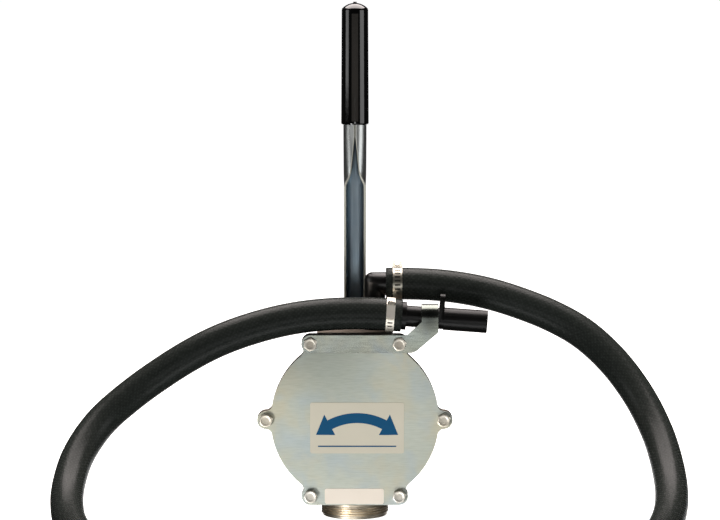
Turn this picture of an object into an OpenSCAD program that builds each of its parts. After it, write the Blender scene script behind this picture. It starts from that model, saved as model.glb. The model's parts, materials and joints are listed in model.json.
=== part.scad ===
// Hand-worked transfer pump for a drum: a lever rocks a wing to and fro in a round casing,
// four flaps turn that into a steady flow, and a hose with a spout hangs in a clip on the cover.
// Millimetres. +Z is up, the cover faces -Y, and the origin is the foot of the bung thread.

/* [Casing] */
// Radius of the pumping chamber
chamber_r = 66; // [62:0.5:72]
// Depth of the pumping chamber, front to back
chamber_d = 50; // [46:1:60]
// Thickness of the casing's round wall
wall_t = 5; // [4:0.5:7]
// Thickness of the casing's rear wall
rear_t = 7; // [6:0.5:10]
// Width of the flange outside the chamber
flange_w = 9.3; // [8:0.1:12]
// Thickness of the flange
flange_t = 10; // [8:0.5:14]
// Distance of the bolt circle outside the round flange
bolt_out = 4.2; // [3:0.1:6]
// Radius of the bolt ears
ear_r = 8; // [7:0.1:10]
// Radius of the fillet beside each ear
ear_fillet = 6; // [3:0.5:10]
// Half width of the flat pad on top of the casing
pad_half_w = 34; // [30:1:40]
// Length of the inlet neck below the chamber
neck_len = 10; // [8:0.5:16]
// Radius of the inlet neck
neck_r = 28; // [26:0.5:30]
// Radius of the inlet passage
inlet_r = 12; // [9:0.5:14]
// Length of the shaft boss behind the rear wall
boss_len = 9; // [8:0.5:12]
// Thickness of the boss wall around the packing
boss_wall = 6; // [4:0.5:8]
// Thickness of the ribs on the rear wall
rib_t = 4; // [3:0.5:6]
// Height of the ribs on the rear wall
rib_h = 2.5; // [1.5:0.5:3]

/* [Cover] */
// Thickness of the cover plate
cover_t = 3; // [2:0.25:4]
// Thickness of the cover gasket
gasket_t = 1; // [0.5:0.25:2]
// Diameter of the cover bolts
bolt_d = 6.35; // [5:0.05:7]
// Width across the flats of the bolt heads
bolt_af = 11.1; // [10:0.1:12]
// Height of the bolt heads
bolt_head_h = 4; // [3:0.1:5]
// Width of the front decal
decal_w = 84; // [60:1:90]
// Height of the front decal
decal_h = 46; // [30:1:50]
// Width of the plain label at the bottom
label_w = 53; // [40:1:58]
// Height of the plain label at the bottom
label_h = 14; // [10:0.5:15]
// Thickness of the decal and label
decal_t = 0.25; // [0.2:0.05:0.5]

/* [Bung adapter] */
// Outer radius of the bung thread
thread_r = 30.15; // [29:0.05:31]
// Height of the threaded part
thread_len = 13; // [11:0.5:20]
// Pitch of the thread
thread_pitch = 2.2; // [1.8:0.1:2.5]
// Depth of the thread
thread_depth = 1.25; // [0.8:0.05:1.6]
// Radius of the socket for a suction pipe
socket_r = 15.2; // [14:0.1:18]
// Depth of the socket for a suction pipe
socket_len = 16; // [12:0.5:17]
// Radius of the spigot that screws into the neck
spigot_r = 22; // [20:0.5:23]
// Thickness of the adapter gasket
adapter_gasket_t = 1; // [0.5:0.25:2]

/* [Wing and shaft] */
// Radius of the shaft
shaft_r = 7; // [6:0.25:8]
// Side of the square at the lever end of the shaft
square_w = 9.5; // [8:0.25:9.8]
// Radius of the threaded stud at the lever end
stud_r = 4; // [3:0.25:4.5]
// Radius of the wing's hub
hub_r = 17; // [15:0.5:19]
// Thickness of the wing's blades
blade_t = 8; // [7:0.5:10]
// How far the tip seals stand out of the blades
seal_out = 0.7; // [0.4:0.1:1.2]
// Depth of the tip seal grooves
seal_in = 5; // [3:0.5:6]
// Thickness of the tip seals
seal_t = 3; // [2:0.25:4]
// Radius of the pin through hub and shaft
wing_pin_r = 2; // [1.5:0.1:2.5]
// Wall of the shaft bush
bush_wall = 2; // [1.5:0.25:2.5]
// Thickness of the packing ring
packing_t = 4; // [3:0.25:5]
// Width of the packing ring
packing_w = 4; // [3:0.25:5]
// Width across the flats of the gland nut
gland_af = 26; // [24:0.5:30]
// Height of the gland nut's head
gland_head = 4; // [3:0.5:5]

/* [Flaps] */
// Length of a flap, from its hinge outwards
flap_len = 30; // [26:0.5:32]
// Width of a flap
flap_w = 28; // [22:1:32]
// Thickness of a flap
flap_t = 2.5; // [2:0.25:3]
// Radius of the ports under the flaps
port_r = 9; // [6:0.5:10]
// Radius of the flap hinge knuckles
knuckle_r = 3; // [2.5:0.25:3.5]
// Radius of the flap hinge pins
flap_pin_r = 1.5; // [1:0.1:1.7]
// Width of a hinge lug
lug_w = 4; // [3:0.5:5]
// Distance from the hub to the wing flap hinges
wing_hinge_out = 6; // [5:0.5:8]
// Distance from the hub to the inlet flap hinges
inlet_hinge_out = 11.5; // [10:0.5:13]
// Angle of the inlet seats from straight down
seat_angle = 24; // [22:0.5:27]
// Thickness of the inlet seats
seat_t = 5; // [4:0.5:6]
// Radius of the bridge screws
bridge_screw_r = 2; // [1.5:0.1:2.2]

/* [Lever] */
// Length of the lever from the shaft axis to the top of its tube
lever_len = 366; // [320:1:420]
// Width of the lever's channel
lever_w = 20; // [18.5:0.5:21]
// Depth of the lever's channel
lever_d = 24; // [22:0.5:26]
// Thickness of the lever's sheet
sheet_t = 2; // [1.5:0.1:2.5]
// Radius of the channel's corners, on the middle of the sheet
channel_corner = 4; // [3:0.25:5]
// Gap between the casing's rear wall and the lever
lever_gap = 4; // [3.5:0.25:6]
// Depth of the lever's side walls at the pivot
pivot_wall = 10; // [8:0.5:11]
// Outer radius of the tube that the lever closes to
tube_r = 10.5; // [10:0.1:11.5]
// Length of the grip
grip_len = 110; // [95:1:130]
// Radius of the grip at its foot
grip_r = 12.5; // [12.2:0.1:15]
// Width across the flats of the lever nut
lever_nut_af = 13; // [11:0.5:13.5]
// Height of the lever nut
lever_nut_h = 6.5; // [5:0.5:8]
// Thickness of the lever washer
lever_washer_t = 1.5; // [1:0.25:2]

/* [Outlet] */
// Place of the outlet to the right of the casing's middle
outlet_x = 17.6; // [14:0.1:20]
// Place of the outlet behind the casing's middle
outlet_y = 14; // [12:0.5:15]
// Height of the elbow's level leg above the pad
elbow_h = 41.15; // [38:0.05:46]
// Radius of the elbow's upright leg
elbow_leg_r = 9; // [8:0.1:10]
// Radius of the elbow's level leg
elbow_arm_r = 10.5; // [10:0.1:11.5]
// Reach of the elbow's level leg to the hose stop
elbow_reach = 10.4; // [10.4:0.1:13]
// Radius of the elbow's waterway
waterway_r = 6; // [5:0.1:6.5]
// Thickness of the outlet seal
outlet_seal_t = 1.5; // [1:0.25:2]

/* [Nozzle and clip] */
// Place of the nozzle's hose stop to the right of the casing's middle
nozzle_x = 42; // [40:0.5:44]
// Height of the nozzle's hose stop above the pad
nozzle_h = 16.15; // [16.15:0.05:20]
// Slope of the nozzle down towards its tip, in degrees
nozzle_tilt = 4.2; // [2:0.1:4.4]
// Length of the nozzle from the hose stop to its tip
nozzle_len = 76.5; // [70:0.5:90]
// Outer radius of the spout
spout_r = 10.2; // [9.8:0.1:11]
// Radius of the nozzle's neck
neck_grip_r = 9.5; // [8.5:0.1:9.7]
// Radius of the spout's bore
spout_bore_r = 7; // [5:0.1:7.5]
// Distance of the hook from the hose stop
hook_at = 33; // [33:0.5:36]
// Height of the hook above the nozzle's axis
hook_h = 22; // [18:0.5:26]
// Thickness of the hook
hook_t = 4.5; // [3:0.25:5]
// Thickness of the clip's strip
clip_t = 2; // [1.5:0.1:2.5]
// Width of the clip's strip
clip_w = 16; // [15:0.5:16]
// Place of the clip's arm to the right of the right top bolt
clip_arm_x = 19.75; // [18:0.25:21]
// Width of the clip's arm
clip_arm_w = 15; // [12:0.5:15.5]
// Slope of the clip's turned part, in degrees
clip_slope = 43; // [38:1:46]
// Length of the clip's rear lip below the nozzle's axis
clip_lip = 4; // [2:0.5:8]

/* [Hose] */
// Outer radius of the hose
hose_r = 14.5; // [13.5:0.1:15]
// Radius of the hose's bore
hose_bore_r = 10; // [9.5:0.1:10.5]
// Width of the clamp bands
band_w = 8.5; // [7:0.5:10]
// Thickness of the clamp bands
band_t = 0.9; // [0.6:0.1:1.2]
// Distance of a clamp's middle from the hose end
clamp_in = 10.4; // [8:0.1:12]
// Radius of the clamp screws
clamp_screw_r = 2.5; // [2:0.1:2.8]

/* [Hidden] */
$fn = 64;
// Clearances: pieces that run past each other, a pin or shaft that turns in its hole,
// and pieces that are pushed or screwed together
run_gap = 0.3;
turn_gap = 0.05;
snug_gap = 0.02;
seat_gap = 0.2;
eps = 0.01;

shaft_z = thread_len + adapter_gasket_t + neck_len + chamber_r;
flange_r = chamber_r + flange_w;
bolt_circle_r = flange_r + bolt_out;
bolt_x = bolt_circle_r * cos(60);
bolt_z = bolt_circle_r * sin(60);
pad_z = shaft_z + bolt_z + ear_r;
neck_z = thread_len + adapter_gasket_t;
web_t = 2.5;

y_front = -chamber_d / 2;
y_back = chamber_d / 2;
y_rear = y_back + rear_t;
y_boss = y_rear + boss_len;
y_gasket = y_front - gasket_t;
y_cover = y_gasket - cover_t;
y_clip = y_cover - clip_t;
y_flange = y_front + flange_t;

bush_r = shaft_r + turn_gap + bush_wall;
bush_out = 1;
y_bush = y_rear + bush_out;
packing_r = shaft_r + turn_gap + packing_w;
y_packing = y_bush + packing_t;
boss_r = packing_r + boss_wall;
rib_in = 1;

bolt_r = bolt_d / 2;
bolt_hole_r = bolt_r + seat_gap;
bolt_short = 1;
bolt_turns = [8, 20, 3, 12, 25, 16];

decal_x = 2;
decal_drop = 7;
label_x = -0.5;
label_up = 1;
label_corner = 2;

lever_front = y_rear + lever_gap;
lever_back = lever_front + lever_d;
lever_mid = (lever_front + lever_back) / 2;
tube_mid_r = tube_r - sheet_t / 2;
sheet_steps = 14;
channel_flat = (lever_w - sheet_t) / 2 - channel_corner;
channel_arc = channel_corner * PI / 2;
pivot_end = 13;
wall_grows = [32, 76];
tube_starts = 200;
tube_closed = lever_len - grip_len - 6;
full_reach = channel_flat + channel_arc + lever_d - sheet_t / 2 - channel_corner;
pivot_reach = full_reach - lever_d + pivot_wall;
seam_reach = PI * tube_mid_r - 0.4;
y_shoulder = lever_back - sheet_t - channel_corner;
y_nut = lever_back + lever_washer_t;
stud_end = 2;
grip_top_t = 4;

hinge_lift = run_gap + knuckle_r;
wing_hinge_x = hub_r + wing_hinge_out;
wing_hinge_z = blade_t / 2 + hinge_lift;
inlet_hinge_r = hub_r + inlet_hinge_out;
inlet_hinge_n = seat_t / 2 + hinge_lift;
wing_r = chamber_r - run_gap - seal_out;
lug_y = flap_w / 2 + run_gap;
port_at = 0.55 * flap_len;
saddle_t = 11;
bridge_screw_x = 5;
bridge_screw_in = 14;
bridge_screw_z = hub_r + run_gap + saddle_t / 2;

elbow_z = pad_z + elbow_h;
elbow_spigot_r = elbow_leg_r - 1;
elbow_spigot_len = 9;
elbow_corner = 6;
elbow_stop_x = outlet_x + elbow_reach;
hose_sides = 12;
barb_len = 22;
barb_step = 5;
barb_h = 1;
barb_r = hose_bore_r * cos(180 / hose_sides) - turn_gap;

nozzle_y = y_cover + run_gap + neck_grip_r;
nozzle_z = pad_z + nozzle_h;
nozzle_flange_r = hose_r - 2;
nozzle_flange_t = 4;
clip_x = bolt_x + clip_arm_x;
curl_z = nozzle_z - (clip_x - nozzle_x) * tan(nozzle_tilt);
curl_r = neck_grip_r + run_gap;
band_r = hose_r + 0.1;
housing_lip = 0.15;
housing_w = band_w + 2 * housing_lip;
housing_len = 12;
housing_h = 2 * clamp_screw_r + 1;
housing_y = band_r + band_t + clamp_screw_r + 0.4;

// The coil on the floor: its two ends run out past each other, one over the other at the front
floor_z = 14.7;
coil_middle = [10, -350];
coil_r = 140;
coil_swing = 15;
coil_open = 30;
tie_w = 14;
tie_t = 1.3;
tie_slack = 0.3;
function coil_end(side) = [coil_middle[0] + side * (coil_r + coil_swing) * cos(coil_open),
    coil_middle[1] - (coil_r + coil_swing) * sin(coil_open), floor_z];

// The hose's two free runs, as points along the middle of the hose
outlet_route = [
    [28, 14, 208], [48, 14, 208], [82, 14.5, 206], [118, 15.8, 199.6], [154, 17.5, 188.2],
    [176, 17.5, 179.3], [205, 13.5, 163.5], [231, 3, 141], [253, -16, 113], [268, -45, 84],
    [275, -88, 56.5], [273, -143, 34], [258, -203, 19.5], [233, -262, 15], [204, -322, floor_z],
    [174, -376, floor_z], coil_end(1)];
nozzle_route = [
    coil_end(-1), [-154, -376, floor_z], [-184, -322, floor_z], [-212, -262, 15], [-234, -200, 18],
    [-247, -147, 27], [-250, -98, 45], [-243, -62, 67], [-225, -36, 91], [-200, -24, 112],
    [-171, -19.2, 132.5], [-153, -19.2, 144], [-126, -19.2, 158.5], [-90, -19.2, 172],
    [-54, -19.2, 180.7], [-18, -19.2, 184.6], [18, -19.2, 184.8], [42, -19.2, 183]];

// A flat shape drawn in X and Z, given depth from y0 to y1
module along_y(y0, y1) {
    translate([0, y1, 0]) rotate([90, 0, 0]) linear_extrude(y1 - y0) children();
}

// A round bar along Y
module rod_y(r, y0, y1) {
    translate([0, y1, 0]) rotate([90, 0, 0]) cylinder(r = r, h = y1 - y0);
}

// A shape turned about X, from a half outline drawn as radius and place along X
module turned_x() {
    rotate([0, 90, 0]) rotate_extrude() children();
}

module at_shaft() {
    translate([0, 0, shaft_z]) children();
}

module rounded_square(w, h, r) {
    translate([-w / 2 + r, -h / 2]) square([w - 2 * r, h]);
    translate([-w / 2, -h / 2 + r]) square([w, h - 2 * r]);
    for (sx = [-1, 1], sz = [-1, 1])
        translate([sx * (w / 2 - r), sz * (h / 2 - r)]) circle(r);
}

function bolt_at(i) = [bolt_circle_r * cos(60 * i), bolt_circle_r * sin(60 * i)];

// The hollow that joins an ear to the round flange, on one side of the ear
module ear_blend(i, side) {
    bite = 0.05;
    far = flange_r + ear_fillet - bite;
    near = ear_r + ear_fillet - bite;
    turn = acos((pow(bolt_circle_r, 2) + pow(far, 2) - pow(near, 2)) / (2 * bolt_circle_r * far));
    middle = far * [cos(60 * i + side * turn), sin(60 * i + side * turn)];
    difference() {
        polygon(side > 0 ? [[0, 0], bolt_at(i), middle] : [[0, 0], middle, bolt_at(i)]);
        translate(middle) circle(ear_fillet);
    }
}

// Outline shared by the flange, the gasket and the cover
module flange_outline() {
    circle(flange_r);
    square([2 * bolt_x, 2 * (bolt_z + ear_r)], center = true);
    for (i = [0:5])
        translate(bolt_at(i)) circle(ear_r);
    for (end = [[0, 1], [0, -1], [3, 1], [3, -1], [1, -1], [2, 1], [4, -1], [5, 1]])
        ear_blend(end[0], end[1]);
}

module bolt_holes(r) {
    for (i = [0:5])
        translate(bolt_at(i)) circle(r);
}

module casing() color("#9a8f7f") difference() {
    union() {
        at_shaft() along_y(y_front, y_flange) flange_outline();
        at_shaft() rod_y(chamber_r + wall_t, y_front, y_rear);
        along_y(y_front, y_rear) translate([-pad_half_w, shaft_z])
            square([2 * pad_half_w, pad_z - shaft_z]);
        at_shaft() rod_y(boss_r, y_rear - eps, y_boss);
        at_shaft() for (i = [0:5])
            rotate([0, 60 * i, 0]) translate([boss_r - rib_in, y_rear - eps, -rib_t / 2])
                cube([chamber_r + wall_t - boss_r - rib_in, rib_h + eps, rib_t]);
        intersection() {
            translate([0, 0, neck_z]) cylinder(r = neck_r, h = shaft_z - neck_z);
            translate([-neck_r, y_front, 0]) cube([2 * neck_r, 2 * neck_r, shaft_z]);
        }
    }
    at_shaft() rod_y(chamber_r, y_front - 1, y_back);
    at_shaft() rod_y(bush_r + snug_gap, y_back - 1, y_rear + boss_len / 2);
    at_shaft() rod_y(packing_r + snug_gap, y_bush, y_boss + 1);
    at_shaft() along_y(y_front - 1, y_flange + 1) bolt_holes(bolt_r + snug_gap);
    at_shaft() for (s = [-1, 1]) translate([s * bridge_screw_x, 0, -bridge_screw_z])
        rod_y(bridge_screw_r + turn_gap, y_back - 1, y_rear + rib_h + 1);
    at_shaft() for (s = [-1, 1]) translate([s * bridge_screw_x, 0, -bridge_screw_z])
        rod_y(2 * bridge_screw_r + run_gap, y_rear, y_rear + rib_h + 1);
    translate([-flange_r, y_front - 1, 0]) cube([2 * flange_r, chamber_d, neck_z]);
    translate([0, 0, neck_z - 1]) cylinder(r = spigot_r + snug_gap, h = neck_len - web_t + 1);
    translate([0, 0, neck_z]) cylinder(r = inlet_r, h = shaft_z - neck_z);
    translate([outlet_x, outlet_y, shaft_z]) cylinder(r = waterway_r, h = pad_z);
    translate([outlet_x, outlet_y, pad_z - elbow_spigot_len - run_gap])
        cylinder(r = elbow_spigot_r + snug_gap, h = pad_z);
}

module cover_gasket() color("#3a3a38") at_shaft() along_y(y_gasket, y_front) difference() {
    flange_outline();
    circle(chamber_r);
    bolt_holes(bolt_hole_r);
}

module cover_plate() color("#b9bbb0") at_shaft() along_y(y_cover, y_gasket) difference() {
    flange_outline();
    bolt_holes(bolt_hole_r);
}

// Bolt along Y with its head towards the front and a chamfer round the head
module hex_bolt(y_seat, y_tip, turn) {
    corner_r = bolt_af / 2 / cos(30);
    face_r = bolt_af / 2 - 0.3;
    rod_y(bolt_r, y_seat - eps, y_tip);
    translate([0, y_seat, 0]) rotate([90, 0, 0]) intersection() {
        rotate([0, 0, turn]) cylinder(r = corner_r, h = bolt_head_h, $fn = 6);
        cylinder(r1 = face_r + bolt_head_h * tan(60), r2 = face_r, h = bolt_head_h);
    }
}

module bolts(places, y_seat) {
    for (i = places)
        at_shaft() translate([bolt_at(i)[0], 0, bolt_at(i)[1]])
            hex_bolt(y_seat, y_flange - bolt_short, bolt_turns[i]);
}

module cover_bolts() color("#d8d2c6") bolts([0, 3, 4, 5], y_cover);

module clip_bolts() color("#d8d2c6") bolts([1, 2], y_clip);

// Flat strip under the two top bolts that turns up beside the nozzle
module clip_outline() {
    low = bolt_z - clip_w / 2;
    high = bolt_z + clip_w / 2;
    inner = bolt_x + ear_r - 1;
    outer = bolt_x + clip_w - 1;
    cut = [4, 1.5];
    rise = tan(clip_slope);
    difference() {
        union() {
            translate([-bolt_x, bolt_z]) circle(clip_w / 2);
            polygon([[-bolt_x, low], [outer - cut[0], low], [outer, low + cut[1]],
                [clip_x + clip_arm_w, low + (clip_x + clip_arm_w - outer) * rise],
                [clip_x + clip_arm_w, curl_z - shaft_z], [clip_x, curl_z - shaft_z],
                [clip_x, high + (clip_x - inner) * rise], [inner, high], [-bolt_x, high]]);
        }
        for (s = [-1, 1]) translate([s * bolt_x, bolt_z]) circle(bolt_hole_r);
    }
}

// The arm's end, curled back over the nozzle's neck and down behind it, seen from the side
module clip_curl() {
    outer_r = curl_r + clip_t;
    difference() {
        union() {
            circle(outer_r);
            translate([-outer_r, -clip_lip]) square([2 * outer_r, clip_lip]);
        }
        circle(curl_r);
        translate([-curl_r, -outer_r - 1]) square([2 * curl_r, outer_r + 1]);
        translate([-outer_r - 1, -outer_r - clip_lip]) square([2 * outer_r + 2, outer_r]);
    }
}

module nozzle_clip() color("#949a92") {
    at_shaft() along_y(y_clip, y_cover) clip_outline();
    translate([clip_x, nozzle_y, curl_z])
        rotate([90, 0, 90]) linear_extrude(clip_arm_w) clip_curl();
}

module front_decal() color("#d4d2c4") along_y(y_cover - decal_t, y_cover)
    translate([decal_x, shaft_z - decal_drop]) rounded_square(decal_w, decal_h, label_corner);

module plain_label() color("#efe5d9") along_y(y_cover - decal_t, y_cover)
    translate([label_x, shaft_z - bolt_z - ear_r + label_up + label_h / 2])
        rounded_square(label_w, label_h, label_corner);

module bung_adapter() color("#8c8270") {
    lead = 0.5;
    relief = 0.5;
    rings = floor((thread_len - lead - 2 * relief) / thread_pitch);
    root_r = thread_r - thread_depth;
    top = neck_z + neck_len - web_t - run_gap;
    rotate_extrude() difference() {
        union() {
            polygon(concat([[0, 0], [root_r, 0], [root_r, lead]],
                [for (i = [0:rings - 1], p = [[thread_r, 0.35], [thread_r, 0.7], [root_r, 1]])
                    [p[0], lead + (i + p[1]) * thread_pitch]],
                [[root_r + relief, thread_len - relief], [root_r + relief, thread_len], [0, thread_len]]));
            square([spigot_r, top]);
        }
        translate([-1, -1]) square([socket_r + 1, socket_len + 1]);
        translate([-1, -1]) square([inlet_r + 1, top + 2]);
    }
}

module adapter_gasket() color("#3a3a38") translate([0, 0, thread_len]) intersection() {
    difference() {
        cylinder(r = neck_r, h = adapter_gasket_t);
        translate([0, 0, -1]) cylinder(r = spigot_r + run_gap, h = adapter_gasket_t + 2);
    }
    translate([-neck_r, y_front, 0]) cube([2 * neck_r, 2 * neck_r, adapter_gasket_t]);
}

module drive_shaft() color("#b8b8b4") at_shaft() difference() {
    union() {
        rod_y(shaft_r, y_front + run_gap, y_shoulder);
        along_y(y_shoulder - eps, lever_back - sheet_t) intersection() {
            circle(shaft_r);
            square([2 * (channel_flat - seat_gap), 2 * shaft_r], center = true);
        }
        along_y(lever_back - sheet_t - eps, lever_back) square(square_w, center = true);
        rod_y(stud_r, lever_back - eps, y_nut + lever_nut_h + stud_end);
    }
    translate([0, 0, -hub_r]) cylinder(r = wing_pin_r + snug_gap, h = 2 * hub_r);
}

module shaft_bush() color("#b08d4a") at_shaft() difference() {
    rod_y(bush_r, y_back + run_gap, y_bush);
    rod_y(shaft_r + turn_gap, y_back - 1, y_bush + 1);
}

module shaft_packing() color("#2c2c2c") at_shaft() difference() {
    rod_y(packing_r, y_bush, y_packing);
    rod_y(shaft_r + turn_gap, y_bush - 1, y_packing + 1);
}

module gland_nut() color("#b08d4a") at_shaft() difference() {
    union() {
        rod_y(packing_r, y_packing, y_boss + eps);
        translate([0, y_boss + gland_head, 0]) rotate([90, 0, 0])
            cylinder(r = gland_af / 2 / cos(30), h = gland_head, $fn = 6);
    }
    rod_y(shaft_r + turn_gap, y_packing - 1, y_boss + gland_head + 1);
}

// Two lugs that hold a flap's pin, seen along the pin: foot width, foot depth below the pin
module hinge_lugs(depth) {
    for (s = [-1, 1])
        along_y(s > 0 ? lug_y : -lug_y - lug_w, s > 0 ? lug_y + lug_w : -lug_y) {
            circle(knuckle_r);
            translate([-knuckle_r, -depth]) square([2 * knuckle_r, depth]);
        }
}

// A flap lying along +X from its hinge, with the seat below it
module flap() {
    difference() {
        union() {
            rod_y(knuckle_r, -flap_w / 2, flap_w / 2);
            translate([0, -flap_w / 2, seat_gap - hinge_lift]) cube([flap_len, flap_w, flap_t]);
        }
        rod_y(flap_pin_r + turn_gap, -flap_w, flap_w);
    }
}

module flap_pin() {
    rod_y(flap_pin_r, -lug_y - lug_w, lug_y + lug_w);
}

module at_wing_hinge(side) {
    at_shaft() mirror([side < 0 ? 1 : 0, 0, 0]) translate([wing_hinge_x, 0, wing_hinge_z]) children();
}

module at_inlet_hinge(side) {
    at_shaft() mirror([side < 0 ? 1 : 0, 0, 0]) rotate([0, 90 - seat_angle, 0])
        translate([inlet_hinge_r, 0, inlet_hinge_n]) children();
}

module wing() color("#c9c5b8") difference() {
    union() {
        at_shaft() rod_y(hub_r, y_front + run_gap, y_back - run_gap);
        at_shaft() along_y(y_front + run_gap, y_back - run_gap) intersection() {
            square([2 * wing_r, blade_t], center = true);
            circle(wing_r);
        }
        for (side = [-1, 1]) at_wing_hinge(side) hinge_lugs(hinge_lift + 1);
    }
    at_shaft() rod_y(shaft_r + snug_gap, y_front - 1, y_back + 1);
    at_shaft() translate([0, 0, -hub_r - 1]) cylinder(r = wing_pin_r + snug_gap, h = 2 * hub_r + 2);
    for (side = [-1, 1]) {
        at_wing_hinge(side) rod_y(flap_pin_r + snug_gap, -chamber_d, chamber_d);
        at_wing_hinge(side) translate([port_at, 0, -blade_t * 2])
            cylinder(r = port_r, h = blade_t * 3);
        at_shaft() along_y(y_front - 1, y_back + 1)
            translate([side * (wing_r + 1) - (seal_in + 1) / 2 * (side + 1), -seal_t / 2])
                square([seal_in + 1, seal_t]);
    }
}

module wing_pin() color("#b8b8b4") at_shaft() translate([0, 0, -hub_r + 1])
    cylinder(r = wing_pin_r, h = 2 * hub_r - 2);

module wing_tip_seals() color("#2c2c2c") at_shaft()
    along_y(y_front + run_gap, y_back - run_gap) intersection() {
        circle(wing_r + seal_out);
        union() for (side = [-1, 1])
            translate([side * (wing_r - seal_in) + (side < 0 ? -2 * seal_in : 0), -seal_t / 2])
                square([2 * seal_in, seal_t]);
    }

module wing_flap_left() color("#8f8f88") at_wing_hinge(-1) flap();

module wing_flap_right() color("#8f8f88") at_wing_hinge(1) flap();

module wing_flap_pins() color("#b8b8b4") for (side = [-1, 1]) at_wing_hinge(side) flap_pin();

// Fixed seat under the wing, an upside-down V with a saddle below the hub
module inlet_bridge() color("#a9a595") difference() {
    union() {
        at_shaft() along_y(y_front, y_back) intersection() {
            difference() {
                circle(chamber_r - snug_gap);
                circle(hub_r + run_gap);
            }
            union() {
                for (side = [-1, 1])
                    rotate(side * seat_angle) translate([-seat_t / 2, -chamber_r])
                        square([seat_t, chamber_r]);
                intersection() {
                    circle(hub_r + run_gap + saddle_t);
                    polygon([[0, 0], 2 * chamber_r * [-sin(seat_angle), -cos(seat_angle)],
                        2 * chamber_r * [sin(seat_angle), -cos(seat_angle)]]);
                }
            }
        }
        for (side = [-1, 1]) at_inlet_hinge(side) hinge_lugs(hinge_lift + 1);
    }
    for (side = [-1, 1]) {
        at_inlet_hinge(side) rod_y(flap_pin_r + snug_gap, -chamber_d, chamber_d);
        at_inlet_hinge(side) translate([port_at, 0, -seat_t * 2.5])
            cylinder(r = port_r, h = seat_t * 3);
        at_shaft() translate([side * bridge_screw_x, 0, -bridge_screw_z])
            rod_y(bridge_screw_r + snug_gap, y_back - bridge_screw_in - 2, y_back + 1);
    }
}

module bridge_screws() color("#d8d2c6") for (side = [-1, 1])
    at_shaft() translate([side * bridge_screw_x, 0, -bridge_screw_z]) difference() {
        union() {
            rod_y(bridge_screw_r, y_back - bridge_screw_in, y_rear + eps);
            rod_y(2 * bridge_screw_r, y_rear, y_rear + bridge_screw_r);
        }
        translate([-bridge_screw_r * 1.5, y_rear + bridge_screw_r / 2, -0.5])
            cube([bridge_screw_r * 3, bridge_screw_r, 1]);
    }

module inlet_flap_left() color("#8f8f88") at_inlet_hinge(-1) flap();

module inlet_flap_right() color("#8f8f88") at_inlet_hinge(1) flap();

module inlet_flap_pins() color("#b8b8b4") for (side = [-1, 1]) at_inlet_hinge(side) flap_pin();

module outlet_seal() color("#2c2c2c") translate([outlet_x, outlet_y, pad_z]) difference() {
    cylinder(r = elbow_leg_r + 1, h = outlet_seal_t);
    translate([0, 0, -1]) cylinder(r = elbow_spigot_r + turn_gap, h = outlet_seal_t + 2);
}

// Half outline of a hose tail that points to -X, with its stop at 0
function tail_outline() = concat([[0, -barb_len], [barb_r - barb_h, -barb_len]],
    [for (i = [0:2], p = [[barb_r, 0.8], [barb_r - barb_h, 0.9]]) [p[0], -barb_len + (i + p[1]) * barb_step]],
    [[barb_r - barb_h, 0]]);

module outlet_elbow() color("#1c1c1b") difference() {
    union() {
        translate([outlet_x, outlet_y, pad_z + outlet_seal_t])
            cylinder(r = elbow_leg_r, h = elbow_h - outlet_seal_t);
        translate([outlet_x, outlet_y, pad_z - elbow_spigot_len])
            cylinder(r = elbow_spigot_r, h = elbow_spigot_len + outlet_seal_t + 1);
        translate([outlet_x - elbow_leg_r, outlet_y, elbow_z]) turned_x() {
            square([elbow_arm_r - elbow_corner, elbow_leg_r + elbow_reach]);
            translate([0, elbow_corner]) square([elbow_arm_r, elbow_leg_r + elbow_reach - elbow_corner]);
            translate([elbow_arm_r - elbow_corner, elbow_corner]) intersection() {
                circle(elbow_corner);
                translate([0, -elbow_corner]) square(elbow_corner);
            }
        }
        translate([elbow_stop_x, outlet_y, elbow_z]) mirror([1, 0, 0]) turned_x()
            polygon(concat(tail_outline(), [[0, 0]]));
    }
    translate([outlet_x, outlet_y, shaft_z]) cylinder(r = waterway_r, h = elbow_z - shaft_z);
    translate([outlet_x, outlet_y, elbow_z]) sphere(waterway_r);
    translate([outlet_x, outlet_y, elbow_z]) rotate([0, 90, 0])
        cylinder(r = waterway_r, h = elbow_reach + barb_len + 1);
}

module at_nozzle() {
    translate([nozzle_x, nozzle_y, nozzle_z]) rotate([0, nozzle_tilt, 0]) children();
}

module nozzle_spout() color("#202020") at_nozzle() difference() {
    union() {
        turned_x() polygon(concat(tail_outline(),
            [[nozzle_flange_r, 0], [nozzle_flange_r, nozzle_flange_t], [neck_grip_r, nozzle_flange_t],
            [neck_grip_r, hook_at + hook_t], [spout_r, hook_at + hook_t], [spout_r, nozzle_len],
            [0, nozzle_len]]));
        translate([hook_at, 0, 0]) rotate([90, 0, 90]) linear_extrude(hook_t) {
            polygon([[-spout_r, 0], [spout_r, 0], [spout_r / 2, hook_h - spout_r / 2],
                [-spout_r / 2, hook_h - spout_r / 2]]);
            translate([0, hook_h - spout_r / 2]) circle(spout_r / 2);
        }
    }
    turned_x() translate([0, -barb_len - 1]) square([spout_bore_r, barb_len + nozzle_len + 2]);
}

// Band of a worm-drive clamp about X, with its screw housing at the front
module hose_clamp() {
    slots = 9;
    slot = [0.6 * band_w, 4 * band_t, 1.4];
    difference() {
        turned_x() translate([band_r, -band_w / 2]) square([band_t, band_w]);
        for (i = [0:slots - 1]) rotate([35 + 14 * i, 0, 0])
            translate([0, -band_r, 0]) cube(slot, center = true);
    }
    difference() {
        translate([-housing_w / 2, -band_r - band_t - housing_h, -housing_len / 2])
            cube([housing_w, housing_h + band_t / 2, housing_len]);
        turned_x() translate([0, -housing_w]) square([band_r + band_t / 2, 2 * housing_w]);
        translate([0, -housing_y, -housing_len])
            cylinder(r = clamp_screw_r + snug_gap, h = 2 * housing_len);
    }
}

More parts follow.
